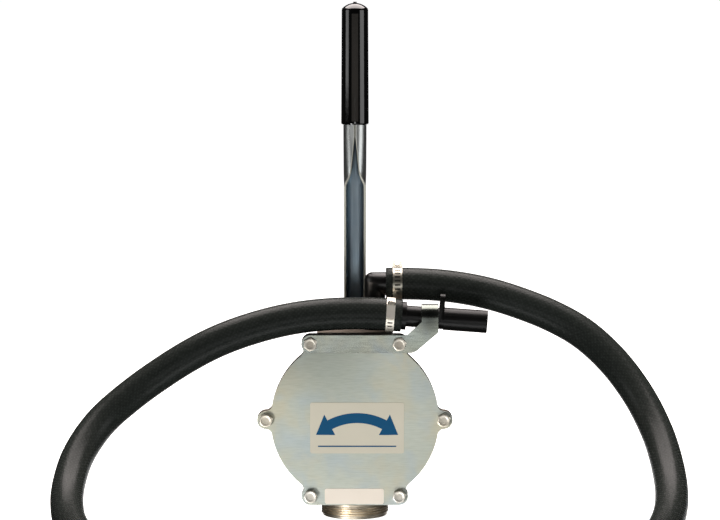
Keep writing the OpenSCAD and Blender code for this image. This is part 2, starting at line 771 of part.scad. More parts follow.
module clamp_screw() {
    head_r = clamp_screw_r + 1;
    head_h = 3.5;
    slot_w = 1;
    translate([0, -housing_y, 0]) {
        translate([0, 0, -housing_len / 2 - 0.5]) cylinder(r = clamp_screw_r, h = housing_len + 1);
        translate([0, 0, housing_len / 2 + seat_gap]) difference() {
            cylinder(r = head_r, h = head_h, $fn = 6);
            translate([-head_r - 1, -slot_w / 2, head_h - slot_w])
                cube([2 * head_r + 2, slot_w, 2 * slot_w]);
        }
    }
}

module at_outlet_clamp() {
    translate([elbow_stop_x + clamp_in, outlet_y, elbow_z]) rotate([-135, 0, 0]) children();
}

module at_nozzle_clamp() {
    at_nozzle() translate([-clamp_in, 0, 0]) rotate([-14, 0, 0]) children();
}

module outlet_clamp() color("#c8c6bc") at_outlet_clamp() hose_clamp();

module nozzle_clamp() color("#c8c6bc") at_nozzle_clamp() hose_clamp();

module clamp_screws() color("#d8d2c6") {
    at_outlet_clamp() clamp_screw();
    at_nozzle_clamp() clamp_screw();
}

function unit(v) = v / norm(v);
function heading(route, i) = unit(route[min(i + 1, len(route) - 1)] - route[max(i - 1, 0)]);
function ring(middle, along, r) = let (side = unit(cross(along, [0, 0, 1])), up = cross(side, along))
    [for (k = [0:hose_sides - 1]) middle
        + r * (cos(360 * k / hose_sides) * side + sin(360 * k / hose_sides) * up)];

// Two triangles for each four-cornered face
function halved(faces) = [for (f = faces) each [[f[0], f[1], f[2]], [f[0], f[2], f[3]]]];

// A hose along a route, as a ring outside and a ring inside at each point
module hose_run(route, first, last) {
    n = hose_sides;
    count = len(route);
    ways = [for (i = [0:count - 1]) i == 0 ? first : i == count - 1 ? last : heading(route, i)];
    points = [for (i = [0:count - 1], r = [hose_r, hose_bore_r]) each ring(route[i], ways[i], r)];
    top = 2 * n * (count - 1);
    polyhedron(points, halved(concat(
        [for (i = [0:count - 2], k = [0:n - 1]) let (a = 2 * n * i, b = a + 2 * n, q = (k + 1) % n)
            [a + k, a + q, b + q, b + k]],
        [for (i = [0:count - 2], k = [0:n - 1]) let (a = 2 * n * i + n, b = a + 2 * n, q = (k + 1) % n)
            [a + k, b + k, b + q, a + q]],
        [for (k = [0:n - 1]) let (q = (k + 1) % n) [k, n + k, n + q, q]],
        [for (k = [0:n - 1]) let (q = (k + 1) % n) [top + k, top + q, top + n + q, top + n + k]])));
}

module hose_outlet_run() color("#2a2c2b")
    hose_run(outlet_route, [1, 0, 0], [-sin(coil_open), -cos(coil_open), 0]);

module hose_nozzle_run() color("#2a2c2b")
    hose_run(nozzle_route, [-sin(coil_open), cos(coil_open), 0],
        [cos(nozzle_tilt), 0, -sin(nozzle_tilt)]);

// Outer shape of the coil: one turn, and the stretch in front where its ends pass each other
module hose_coil() color("#2a2c2b") translate([coil_middle[0], coil_middle[1], floor_z]) {
    front = 180 - 2 * coil_open;
    rotate(-coil_open) rotate_extrude(angle = 360 - front)
        translate([coil_r - coil_swing, 0]) circle(hose_r);
    rotate(180 + coil_open) rotate_extrude(angle = front)
        translate([coil_r, 0]) rounded_square(2 * (coil_swing + hose_r), 2 * hose_r, hose_r - 1);
    rotate(180 + 2 * coil_open) rotate_extrude(angle = front - 2 * coil_open)
        translate([coil_r, hose_r]) rounded_square(2 * hose_r, 4 * hose_r, hose_r - 1);
}

// Strap around the two turns where one lies on the other
module hose_tie() color("#303030")
    translate([coil_middle[0], coil_middle[1] - coil_r, floor_z + hose_r + tie_t + tie_slack])
        rotate([90, 0, 90]) linear_extrude(tie_w, center = true) difference() {
            rounded_square(2 * (hose_r + tie_t + tie_slack), 2 * (2 * hose_r + tie_t + tie_slack),
                hose_r + tie_t);
            rounded_square(2 * (hose_r + tie_slack), 2 * (2 * hose_r + tie_slack), hose_r);
        }

// Middle line of the lever's sheet, s from the middle of its back: place and outward way
function channel_at(s) = let (a = abs(s), d = s < 0 ? -1 : 1, y = lever_back - sheet_t / 2)
    a < channel_flat ? [[s, y], [0, 1]]
    : a < channel_flat + channel_arc
        ? let (t = (a - channel_flat) / channel_corner * 180 / PI)
            [[d * (channel_flat + channel_corner * sin(t)), y - channel_corner * (1 - cos(t))],
                [d * sin(t), cos(t)]]
        : [[d * (channel_flat + channel_corner),
            y - channel_corner - (a - channel_flat - channel_arc)], [d, 0]];
function tube_at(s) = let (t = s / tube_mid_r * 180 / PI)
    [[tube_mid_r * sin(t), lever_mid + tube_mid_r * cos(t)], [sin(t), cos(t)]];

// One cross-section of the lever: height, reach of the sheet to each side, share closed to a tube
function lever_ring(z, reach, closed) = let (
    marks = [for (k = [-sheet_steps:sheet_steps]) reach * k / sheet_steps],
    mids = [for (s = marks) let (c = channel_at(s), t = tube_at(s))
        [c[0] * (1 - closed) + t[0] * closed, unit(c[1] * (1 - closed) + t[1] * closed)]])
    concat([for (m = mids) concat(m[0] + m[1] * sheet_t / 2, shaft_z + z)],
        [for (k = [len(mids) - 1:-1:0]) concat(mids[k][0] - mids[k][1] * sheet_t / 2, shaft_z + z)]);
function eased(u) = u * u * (3 - 2 * u);

module lever_arm() color("#7c868c") difference() {
    closing = 10;
    rings = concat([lever_ring(-pivot_end, pivot_reach, 0), lever_ring(wall_grows[0], pivot_reach, 0),
        lever_ring(wall_grows[1], full_reach, 0)],
        [for (i = [0:closing]) let (c = eased(i / closing))
            lever_ring(tube_starts + (tube_closed - tube_starts) * i / closing,
                full_reach + (seam_reach - full_reach) * c, c)],
        [lever_ring(lever_len, seam_reach, 1)]);
    n = len(rings[0]);
    last = n * (len(rings) - 1);
    polyhedron([for (r = rings) each r], halved(concat(
        [for (i = [0:len(rings) - 2], k = [0:n - 1]) let (a = n * i, b = a + n, q = (k + 1) % n)
            [a + k, b + k, b + q, a + q]],
        [for (k = [0:n / 2 - 2]) [k, k + 1, n - 2 - k, n - 1 - k]],
        [for (k = [0:n / 2 - 2]) [last + k, last + n - 1 - k, last + n - 2 - k, last + k + 1]])));
    at_shaft() along_y(lever_back - 2 * sheet_t, lever_back + 1)
        square(square_w + 2 * turn_gap, center = true);
    at_shaft() along_y(lever_front, lever_back + 1) difference() {
        translate([-lever_w, -2 * pivot_end]) square([2 * lever_w, 2 * pivot_end]);
        translate([0, lever_w / 2 - pivot_end]) circle(lever_w / 2);
        translate([-lever_w, lever_w / 2 - pivot_end]) square([2 * lever_w, lever_w]);
    }
}

module lever_washer() color("#d8d2c6") at_shaft() difference() {
    rod_y(lever_w / 2 - 1, lever_back, y_nut);
    rod_y(stud_r + run_gap, lever_back - 1, y_nut + 1);
}

module lever_nut() color("#d8d2c6") at_shaft() difference() {
    translate([0, y_nut + lever_nut_h, 0]) rotate([90, 0, 0])
        cylinder(r = lever_nut_af / 2 / cos(30), h = lever_nut_h, $fn = 6);
    rod_y(stud_r + snug_gap, y_nut - 1, y_nut + lever_nut_h + 1);
}

// Dipped grip with a rounded foot, a low dome on top and the nub that dipping leaves
module lever_grip() color("#181818")
    translate([0, lever_mid, shaft_z + lever_len + grip_top_t - grip_len]) {
        rim = 1.5;
        dome = 5;
        nub = [1.6, 1.2];
        top_r = grip_r - 0.5;
        dome_r = (top_r * top_r + dome * dome) / (2 * dome);
        rotate_extrude() difference() {
            union() {
                polygon([[0, rim], [grip_r, rim], [top_r, grip_len - dome], [0, grip_len - dome]]);
                square([grip_r - rim, rim + eps]);
                translate([grip_r - rim, rim]) circle(rim);
                intersection() {
                    translate([0, grip_len - dome_r]) circle(dome_r);
                    translate([0, grip_len - dome - eps]) square([grip_r, 2 * dome]);
                }
                square([nub[0], grip_len + nub[1]]);
            }
            translate([-1, -1]) square([tube_r + turn_gap + 1, grip_len - grip_top_t + turn_gap + 1]);
            translate([-grip_r, -1]) square([grip_r, 2 * grip_len]);
        }
    }

casing();
cover_gasket();
cover_plate();
cover_bolts();
clip_bolts();
nozzle_clip();
front_decal();
plain_label();
bung_adapter();
adapter_gasket();
drive_shaft();
shaft_bush();
shaft_packing();
gland_nut();
wing();
wing_pin();
wing_tip_seals();
wing_flap_left();
wing_flap_right();
wing_flap_pins();
inlet_bridge();
bridge_screws();
inlet_flap_left();
inlet_flap_right();
inlet_flap_pins();
outlet_seal();
outlet_elbow();
outlet_clamp();
nozzle_clamp();
clamp_screws();
nozzle_spout();
hose_outlet_run();
hose_coil();
hose_nozzle_run();
hose_tie();
lever_arm();
lever_washer();
lever_nut();
lever_grip();
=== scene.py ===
"""A hand-worked transfer pump for a drum, dressed for a studio picture.

Metres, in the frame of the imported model: +Z is up, the cover faces -Y, and the origin is the foot of
the bung thread. The sections follow the pump as it is put together, after the camera and the hose.
"""

import json
import math

import bmesh
import bpy
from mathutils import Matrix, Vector


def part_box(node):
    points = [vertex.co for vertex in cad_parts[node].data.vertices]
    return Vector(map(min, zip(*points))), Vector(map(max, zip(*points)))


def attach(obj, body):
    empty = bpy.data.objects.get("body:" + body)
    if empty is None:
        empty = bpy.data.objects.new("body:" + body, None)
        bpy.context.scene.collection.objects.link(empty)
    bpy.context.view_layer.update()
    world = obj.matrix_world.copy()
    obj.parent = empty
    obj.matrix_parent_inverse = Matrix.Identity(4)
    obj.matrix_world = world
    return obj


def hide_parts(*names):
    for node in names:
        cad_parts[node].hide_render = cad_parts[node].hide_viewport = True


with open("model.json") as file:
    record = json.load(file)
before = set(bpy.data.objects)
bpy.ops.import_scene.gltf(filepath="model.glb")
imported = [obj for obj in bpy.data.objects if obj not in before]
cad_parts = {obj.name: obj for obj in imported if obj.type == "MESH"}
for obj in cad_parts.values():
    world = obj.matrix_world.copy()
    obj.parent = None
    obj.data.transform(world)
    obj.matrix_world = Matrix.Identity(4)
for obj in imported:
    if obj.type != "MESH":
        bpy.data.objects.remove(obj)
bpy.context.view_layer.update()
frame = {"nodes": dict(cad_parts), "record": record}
scene = bpy.context.scene

# Camera
# A long lens three metres off, square to the pump's front and a little above it, so the top of the
# casing shows as a sliver. The picture is 720 by 520.
camera_aim = Vector((0.0046, 0, 0.231))
camera_distance = 3.0
camera_elevation = math.radians(6)
camera_lens = 167

camera = bpy.data.objects.new("camera", bpy.data.cameras.new("camera"))
scene.collection.objects.link(camera)
towards_camera = Vector((0, -math.cos(camera_elevation), math.sin(camera_elevation)))
camera.location = camera_aim + camera_distance * towards_camera
camera.rotation_euler = (math.pi / 2 - camera_elevation, 0, 0)
camera.data.lens = camera_lens
camera.data.sensor_width = 36
scene.camera = camera

# Hose
# Black rubber hose of 3/4 inch bore, pushed onto the tails of the elbow and the spout. It is cured in
# a wrapping of wet cloth tape, which leaves a fine weave and a shallow spiral in the rubber.
hose_r = 0.0145
hose_sides = 32
hose_step = 0.006
hose_edge = 0.0006
tape_pitch = 0.034
threads_round = 22
weave_weight = 0.18
spiral_weight = 0.5
floor_z = 0.0147
coil_middle = Vector((0.010, -0.350, 0))
coil_r = 0.140
coil_swing = 0.015
coil_open = math.radians(30)
coil_rise = 0.030
tie_lift = 0.0018
outlet_route = [
    (0.028, 0.014, 0.208), (0.048, 0.014, 0.208), (0.082, 0.0145, 0.206), (0.118, 0.0158, 0.1996),
    (0.154, 0.0175, 0.1882), (0.176, 0.0175, 0.1793), (0.205, 0.0135, 0.1635), (0.231, 0.003, 0.141),
    (0.253, -0.016, 0.113), (0.268, -0.045, 0.084), (0.275, -0.088, 0.0565), (0.273, -0.143, 0.034),
    (0.258, -0.203, 0.0195), (0.233, -0.262, 0.015), (0.204, -0.322, floor_z), (0.174, -0.376, floor_z),
]
nozzle_route = [
    (-0.154, -0.376, floor_z), (-0.184, -0.322, floor_z), (-0.212, -0.262, 0.015), (-0.234, -0.200, 0.018),
    (-0.247, -0.147, 0.027), (-0.250, -0.098, 0.045), (-0.243, -0.062, 0.067), (-0.225, -0.036, 0.091),
    (-0.200, -0.024, 0.112), (-0.171, -0.0192, 0.1325), (-0.153, -0.0192, 0.144), (-0.126, -0.0192, 0.1585),
    (-0.090, -0.0192, 0.172), (-0.054, -0.0192, 0.1807), (-0.018, -0.0192, 0.1846),
    (0.018, -0.0192, 0.1848), (0.042, -0.0192, 0.183),
]


def coil_point(share):
    """A point of the coil: the outlet end swings inwards, and the other end crosses over it in front."""
    front = math.pi - 2 * coil_open
    turned = share * (2 * math.pi + front)
    r = coil_r - coil_swing
    z = floor_z
    if turned < front:
        r = coil_r + coil_swing * math.cos(math.pi * turned / front)
        z += tie_lift * math.sin(math.pi * turned / front) ** 2
    if turned > 2 * math.pi:
        over = (turned - 2 * math.pi) / front
        r = coil_r - coil_swing * math.cos(math.pi * over)
        z += coil_rise * math.sin(math.pi * over) + tie_lift * math.sin(math.pi * over) ** 2
    angle = -coil_open - turned
    return coil_middle + Vector((r * math.cos(angle), r * math.sin(angle), z))


def smoothed(points, first_way, last_way, step):
    """A smooth line through the points, with its way given at both ends."""
    points = [Vector(p) for p in points]
    gaps = [(b - a).length for a, b in zip(points, points[1:])]
    ways = [Vector(first_way).normalized()]
    for i in range(1, len(points) - 1):
        before = (points[i] - points[i - 1]) / gaps[i - 1]
        after = (points[i + 1] - points[i]) / gaps[i]
        ways.append((before * gaps[i] + after * gaps[i - 1]) / (gaps[i] + gaps[i - 1]))
    ways.append(Vector(last_way).normalized())
    line = [points[0]]
    for i, gap in enumerate(gaps):
        pieces = max(1, round(gap / step))
        for k in range(1, pieces + 1):
            u = k / pieces
            line.append(
                points[i] * (2 * u**3 - 3 * u**2 + 1)
                + ways[i] * gap * (u**3 - 2 * u**2 + u)
                + points[i + 1] * (3 * u**2 - 2 * u**3)
                + ways[i + 1] * gap * (u**3 - u**2)
            )
    return line


coil_length = coil_r * (3 * math.pi - 2 * coil_open)
coil_steps = round(coil_length / hose_step)
coil_points = [coil_point(k / coil_steps) for k in range(coil_steps + 1)]
coil_in = Vector((-math.sin(coil_open), -math.cos(coil_open), 0))
coil_out = Vector((-math.sin(coil_open), math.cos(coil_open), 0))
nozzle_tilt = math.radians(4.2)
nozzle_way = Vector((math.cos(nozzle_tilt), 0, -math.sin(nozzle_tilt)))
outlet_run = smoothed(outlet_route + [coil_points[0]], (1, 0, 0), coil_in, hose_step)
nozzle_run = smoothed([coil_points[-1]] + nozzle_route, coil_out, nozzle_way, hose_step)


def eased(line, first, last, rounds):
    """The line with its heights evened out between two of its points, so that it has no sudden bend."""
    heights = [point.z for point in line]
    for _ in range(rounds):
        heights[first:last] = [
            (heights[i - 1] + 2 * heights[i] + heights[i + 1]) / 4 for i in range(first, last)
        ]
    return [Vector((point.x, point.y, z)) for point, z in zip(line, heights)]


coil_ends = 12
easing_rounds = 16
hose_line = eased(outlet_run + coil_points[1:-1] + nozzle_run, len(outlet_run) - coil_ends,
    len(outlet_run) + len(coil_points) + coil_ends, easing_rounds)


def finished(made, name, corner):
    """What was made as an object of the scene: smooth, but sharp at edges that turn more than the corner."""
    bmesh.ops.recalc_face_normals(made, faces=made.faces)
    mesh = bpy.data.meshes.new(name)
    made.to_mesh(mesh)
    made.free()
    mesh.shade_smooth()
    mesh.set_sharp_from_angle(angle=math.radians(corner))
    piece = bpy.data.objects.new(name, mesh)
    scene.collection.objects.link(piece)
    return piece


def swept_tube(name, line, r, sides, edge):
    """A closed tube along a line, with chamfered ends and a UV map in metres, along it and round it."""
    made = bmesh.new()
    around = made.loops.layers.uv.new("UVMap")
    rings = []
    run = 0.0
    for i, point in enumerate(line):
        run += (point - line[i - 1]).length if i else 0.0
        rings.append((point, r, run))
    ways = [(b - a).normalized() for a, b in zip(line, line[1:])]
    ways = [ways[0]] + [(a + b).normalized() for a, b in zip(ways, ways[1:])] + [ways[-1]]
    rings = [(line[0], r - edge, 0.0)] + [(line[0] + ways[0] * edge, r, edge)] + rings[1:-1]
    rings += [(line[-1] - ways[-1] * edge, r, run - edge), (line[-1], r - edge, run)]
    ways = [ways[0]] + ways + [ways[-1]]
    up = Vector((0, 0, 1))
    side = ways[0].cross(up).normalized()
    grid = []
    for (point, radius, _), way in zip(rings, ways):
        side = (side - way * side.dot(way)).normalized()
        top = side.cross(way)
        grid.append([])
        for k in range(sides):
            turn = 2 * math.pi * k / sides
            grid[-1].append(made.verts.new(point + radius * (math.cos(turn) * side + math.sin(turn) * top)))
    for i in range(len(grid) - 1):
        for k in range(sides):
            q = (k + 1) % sides
            face = made.faces.new((grid[i][k], grid[i][q], grid[i + 1][q], grid[i + 1][k]))
            for loop, (row, column) in zip(face.loops, ((i, k), (i, k + 1), (i + 1, k + 1), (i + 1, k))):
                loop[around].uv = (rings[row][2], 2 * math.pi * r * column / sides)
    made.faces.new(list(reversed(grid[0])))
    made.faces.new(grid[-1])
    return finished(made, name, corner=50)


def colour(code):
    """An sRGB hex colour as linear red, green, blue and alpha."""
    parts = [int(code[i : i + 2], 16) / 255 for i in (1, 3, 5)]
    return [p / 12.92 if p <= 0.04045 else ((p + 0.055) / 1.055) ** 2.4 for p in parts] + [1.0]


def add(tree, kind, sockets=None, **settings):
    """Adds one node with its settings. A socket takes a value, or the output that it is linked to."""
    node = tree.nodes.new(kind)
    for name, value in settings.items():
        setattr(node, name, value)
    for name, value in (sockets or {}).items():
        if isinstance(value, bpy.types.NodeSocket):
            tree.links.new(value, node.inputs[name])
        else:
            node.inputs[name].default_value = value
    return node


def new_finish(name):
    """An empty material and its node tree."""
    finish = bpy.data.materials.new(name)
    finish.use_nodes = True
    return finish, finish.node_tree


def toned(tree, mask, codes, roughness, spread, marks=(0.0, 1.0)):
    """A colour and a roughness that both follow a mask, the roughness between two of its values."""
    tint = add(tree, "ShaderNodeMix", {"Factor": mask, "A": colour(codes[0]), "B": colour(codes[1])},
        data_type="RGBA")
    gloss = add(tree, "ShaderNodeMapRange", {"Value": mask, "From Min": marks[0], "From Max": marks[1],
        "To Min": roughness - spread, "To Max": roughness + spread})
    return tint, gloss


def coated(finish, tint, gloss, bump, metallic=0.0, specular=0.5):
    """Gives a material's shader its colour, its roughness and its bump, and returns the material."""
    tree = finish.node_tree
    shader = tree.nodes["Principled BSDF"]
    shader.inputs["Metallic"].default_value = metallic
    shader.inputs["Specular IOR Level"].default_value = specular
    tree.links.new(tint.outputs["Result"], shader.inputs["Base Color"])
    tree.links.new(gloss.outputs[0], shader.inputs["Roughness"])
    tree.links.new(bump.outputs[0], shader.inputs["Normal"])
    return finish


def cloth_wrapped_rubber():
    """Rubber cured under cloth tape: a dull black with a woven skin that catches a soft, broken light.
    The weave is drawn coarser than the real one, so that it shows."""
    finish, tree = new_finish("cloth_wrapped_rubber")
    girth = 2 * math.pi * hose_r
    lead = math.atan(tape_pitch / girth)
    weave = girth * math.sin(math.pi / 4) / threads_round
    one_wave = math.pi / 10  # the scale at which a wave texture repeats once a metre
    uv = add(tree, "ShaderNodeUVMap", uv_map="UVMap").outputs["UV"]
    spiral_way = add(tree, "ShaderNodeMapping", {"Vector": uv, "Rotation": (0, 0, lead)})
    spiral = add(tree, "ShaderNodeTexWave", {"Vector": spiral_way.outputs[0],
        "Scale": one_wave / (tape_pitch * math.cos(lead))}, wave_profile="SAW")
    threads = []
    for turn in (math.pi / 4, -math.pi / 4):
        way = add(tree, "ShaderNodeMapping", {"Vector": uv, "Rotation": (0, 0, turn)})
        threads.append(add(tree, "ShaderNodeTexWave", {"Vector": way.outputs[0], "Scale": one_wave / weave}))
    woven = add(tree, "ShaderNodeMath", {0: threads[0].outputs["Fac"], 1: threads[1].outputs["Fac"]},
        operation="MULTIPLY")
    along = add(tree, "ShaderNodeMapping", {"Vector": uv, "Scale": (1 / 0.005, 1 / 0.0025, 1)})
    blotch = add(tree, "ShaderNodeTexNoise", {"Vector": along.outputs[0], "Scale": 1.0, "Detail": 5.0,
        "Roughness": 0.65})
    skin = add(tree, "ShaderNodeMath", {0: woven.outputs[0], 1: weave_weight, 2: blotch.outputs["Fac"]},
        operation="MULTIPLY_ADD")
    height = add(tree, "ShaderNodeMath", {0: spiral.outputs["Fac"], 1: spiral_weight, 2: skin.outputs[0]},
        operation="MULTIPLY_ADD")
    shade = add(tree, "ShaderNodeMapRange", {"Value": skin.outputs[0], "From Min": 0.3, "From Max": 1.1})
    tint, gloss = toned(tree, shade.outputs[0], ("#262a27", "#3f4340"), roughness=0.29, spread=0.07)
    bump = add(tree, "ShaderNodeBump", {"Height": height.outputs[0], "Distance": 0.0006, "Strength": 0.42})
    return coated(finish, tint, gloss, bump, specular=0.1)


hose = swept_tube("hose", hose_line, hose_r, hose_sides, hose_edge)
hose.data.materials.append(cloth_wrapped_rubber())
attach(hose, "pump")
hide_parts("hose_outlet_run", "hose_coil", "hose_nozzle_run")

# Hose tie
# A strap of moulded nylon, pulled tight round the coil where one turn lies on the other, so that it
# doesn't spring open.
bodies = {node: body for body, nodes in frame["record"]["behaviour"]["bodies"].items() for node in nodes}


def settled(piece):
    """The piece with its modifiers worked into its mesh."""
    mesh = bpy.data.meshes.new_from_object(piece.evaluated_get(bpy.context.evaluated_depsgraph_get()))
    piece.modifiers.clear()
    piece.data = mesh
    return piece


def softened(node, width, segments=2, corner=35):
    """A copy of a solid with its sharp edges rounded, as no real edge is quite sharp."""
    mesh = frame["nodes"][node].data.copy()
    made = bmesh.new()
    made.from_mesh(mesh)
    bmesh.ops.remove_doubles(made, verts=made.verts, dist=2e-6)
    flat = math.radians(0.5)
    bmesh.ops.dissolve_limit(made, angle_limit=flat, verts=made.verts, edges=made.edges)
    made.to_mesh(mesh)
    made.free()
    piece = bpy.data.objects.new(node + "_dressed", mesh)
    scene.collection.objects.link(piece)
    mesh.shade_smooth()
    mesh.set_sharp_from_angle(angle=math.radians(corner))
    bevel = piece.modifiers.new("edges", "BEVEL")
    bevel.width = width
    bevel.segments = segments
    bevel.limit_method = "ANGLE"
    bevel.angle_limit = math.radians(corner)
    bevel.harden_normals = True
    return settled(piece)


def dress(piece, node, finish):
    """Gives a piece its finish and puts it in the place of its solid."""
    piece.data.materials.clear()
    piece.data.materials.append(finish)
    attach(piece, bodies[node])
    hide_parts(node)
    return piece


def moulded_plastic(name, dark, light, grain, roughness, specular=0.5):
    """Injection-moulded plastic: a fine mould grain and faint flow marks in an even colour."""
    finish, tree = new_finish(name)
    place = add(tree, "ShaderNodeTexCoord").outputs["Object"]
    flow = add(tree, "ShaderNodeTexNoise", {"Vector": place, "Scale": 1 / 0.02, "Detail": 3.0})
    speck = add(tree, "ShaderNodeTexNoise", {"Vector": place, "Scale": 1 / grain, "Detail": 4.0})
    tint, gloss = toned(tree, flow.outputs["Fac"], (dark, light), roughness, spread=0.08)
    bump = add(tree, "ShaderNodeBump", {"Height": speck.outputs["Fac"], "Distance": 0.00012,
        "Strength": 0.35})
    return coated(finish, tint, gloss, bump, specular=specular)


strap_nylon = moulded_plastic("strap_nylon", "#101010", "#1c1c1c", grain=0.0006, roughness=0.45)
tie = dress(softened("hose_tie", 0.0004), "hose_tie", strap_nylon)

# Bung adapter
# A zinc casting that screws into the drum's bung, with a tapped socket below for the suction pipe.
# The thread is cut, so the metal is brighter than the casing's.
thread_r = 0.03015
thread_depth = 0.00125
thread_pitch = 0.0022
thread_turns = 4
thread_lead = 0.0005
thread_crest = (0.38, 0.62)
foot_len = 0.013
foot_chamfer = 0.0004
collar_out = 0.0005
socket_r = 0.0152
socket_len = 0.016
inlet_r = 0.012
spigot_r = 0.022
spigot_top = 0.0212
round_steps = 96


def walled(made, rings):
    """Joins rings of as many points with faces, each to the next. A ring may be one point, repeated."""
    for a, b in zip(rings, rings[1:]):
        for k in range(len(a)):
            q = (k + 1) % len(a)
            made.faces.new(list(dict.fromkeys((a[k], a[q], b[q], b[k]))))


def threaded_foot():
    """The adapter: one helical ridge outside, and turned faces for the rest."""
    made = bmesh.new()
    steps = round_steps
    root_r = thread_r - thread_depth
    last = thread_turns * steps
    run_out = steps / 3

    def at(step, r, z):
        angle = 2 * math.pi * step / steps
        return made.verts.new((r * math.cos(angle), r * math.sin(angle), z))

    def crest(step, share):
        fade = min(1, step / run_out, (last - step) / run_out)
        return at(step, root_r + thread_depth * fade, thread_lead + thread_pitch * (step / steps + share))

    def ring(r, z):
        return [at(k, r, z) for k in range(steps)]

    root = [at(t, root_r, thread_lead + thread_pitch * t / steps) for t in range(last + steps + 1)]
    lower, upper = ([crest(t, share) for t in range(last + 1)] for share in thread_crest)
    for t in range(last):
        made.faces.new((root[t], root[t + 1], lower[t + 1], lower[t]))
        made.faces.new((lower[t], lower[t + 1], upper[t + 1], upper[t]))
        made.faces.new((upper[t], upper[t + 1], root[t + 1 + steps], root[t + steps]))
    foot = ring(root_r, foot_chamfer)
    for k in range(steps - 1):
        made.faces.new((foot[k], foot[k + 1], root[k + 1], root[k]))
    made.faces.new((foot[-1], foot[0], root[0], lower[0], upper[0], root[steps], root[steps - 1]))
    collar = ring(root_r, foot_len - 2 * collar_out)
    for k in range(1, steps):
        made.faces.new((root[last + k], root[last + k + 1], collar[(k + 1) % steps], collar[k]))
    end = (root[last], root[last + 1], collar[1], collar[0], root[last + steps], upper[last], lower[last])
    made.faces.new(end)
    plain = [
        ring(r, z)
        for r, z in (
            (root_r + collar_out, foot_len - collar_out),
            (root_r + collar_out, foot_len),
            (spigot_r, foot_len),
            (spigot_r, spigot_top),
            (inlet_r, spigot_top),
            (inlet_r, socket_len),
            (socket_r, socket_len),
            (socket_r, 2 * foot_chamfer),
            (socket_r + 2 * foot_chamfer, 0),
            (root_r - foot_chamfer, 0),
        )
    ]
    walled(made, [collar] + plain + [foot])
    return finished(made, "bung_adapter_dressed", corner=24)


def cast_metal(name, dark, light, grain, roughness):
    """A die or sand casting: a dull, slightly uneven metal with the grain of the mould in its skin."""
    finish, tree = new_finish(name)
    place = add(tree, "ShaderNodeTexCoord").outputs["Object"]
    cloud = add(tree, "ShaderNodeTexNoise", {"Vector": place, "Scale": 1 / 0.018, "Detail": 6.0,
        "Roughness": 0.6})
    skin = add(tree, "ShaderNodeTexNoise", {"Vector": place, "Scale": 1 / grain, "Detail": 3.0})
    tint, gloss = toned(tree, cloud.outputs["Fac"], (dark, light), roughness, spread=0.08, marks=(0.3, 0.7))
    bump = add(tree, "ShaderNodeBump", {"Height": skin.outputs["Fac"], "Distance": grain / 6,
        "Strength": 0.4})
    return coated(finish, tint, gloss, bump, metallic=1.0)


def paint(finish, *nodes):
    """Gives solids that show as they are their finish."""
    for node in nodes:
        mesh = frame["nodes"][node].data
        mesh.materials.clear()
        mesh.materials.append(finish)


cut_zinc = cast_metal("cut_zinc", "#cabda8", "#e8ddca", grain=0.0009, roughness=0.38)
fibre = moulded_plastic("gasket_fibre", "#1a1917", "#2b2926", grain=0.0011, roughness=0.8)
dress(threaded_foot(), "bung_adapter", cut_zinc)
paint(fibre, "adapter_gasket")

# Casing
# A round aluminium casting, flat on top under the outlet, with six bolt ears, a neck below and a
# boss with ribs behind. The skin shows the mould, and its edges are rounded.
cast_aluminium = cast_metal("cast_aluminium", "#6e645b", "#958a7e", grain=0.0016, roughness=0.5)
dress(softened("casing", 0.0008), "casing", cast_aluminium)

# Inside the casing
# The fixed bridge with its two inlet flaps, and the wing with its two delivery flaps, on the shaft.
# None of it shows, and the flaps turn on ground steel pins.
die_cast = cast_metal("die_cast_wing", "#9a958a", "#c2bdb1", grain=0.0012, roughness=0.42)
bronze = cast_metal("turned_bronze", "#8a6a35", "#b58f4f", grain=0.0008, roughness=0.34)
ground_steel = cast_metal("ground_steel", "#a2a29e", "#c6c5c0", grain=0.0005, roughness=0.24)
seal_rubber = moulded_plastic("seal_rubber", "#0d0d0d", "#191919", grain=0.0008, roughness=0.7)
paint(die_cast, "wing", "inlet_bridge")
paint(bronze, "wing_flap_left", "wing_flap_right", "inlet_flap_left", "inlet_flap_right", "shaft_bush")
paint(ground_steel, "wing_pin", "wing_flap_pins", "inlet_flap_pins")
paint(seal_rubber, "wing_tip_seals", "shaft_packing", "outlet_seal")
dress(softened("drive_shaft", 0.0003), "drive_shaft", ground_steel)
dress(softened("gland_nut", 0.0004), "gland_nut", bronze)

# Cover
# A plate of pressed steel on a fibre gasket. Its bright zinc plating has a faint cloud of yellow and
# blue, fine lines from the rolling of the sheet, and a patch of painted shade towards the upper left.
plate_shade_middle = Vector((-0.022, -0.029, 0.142))
plate_shade_reach = 0.07


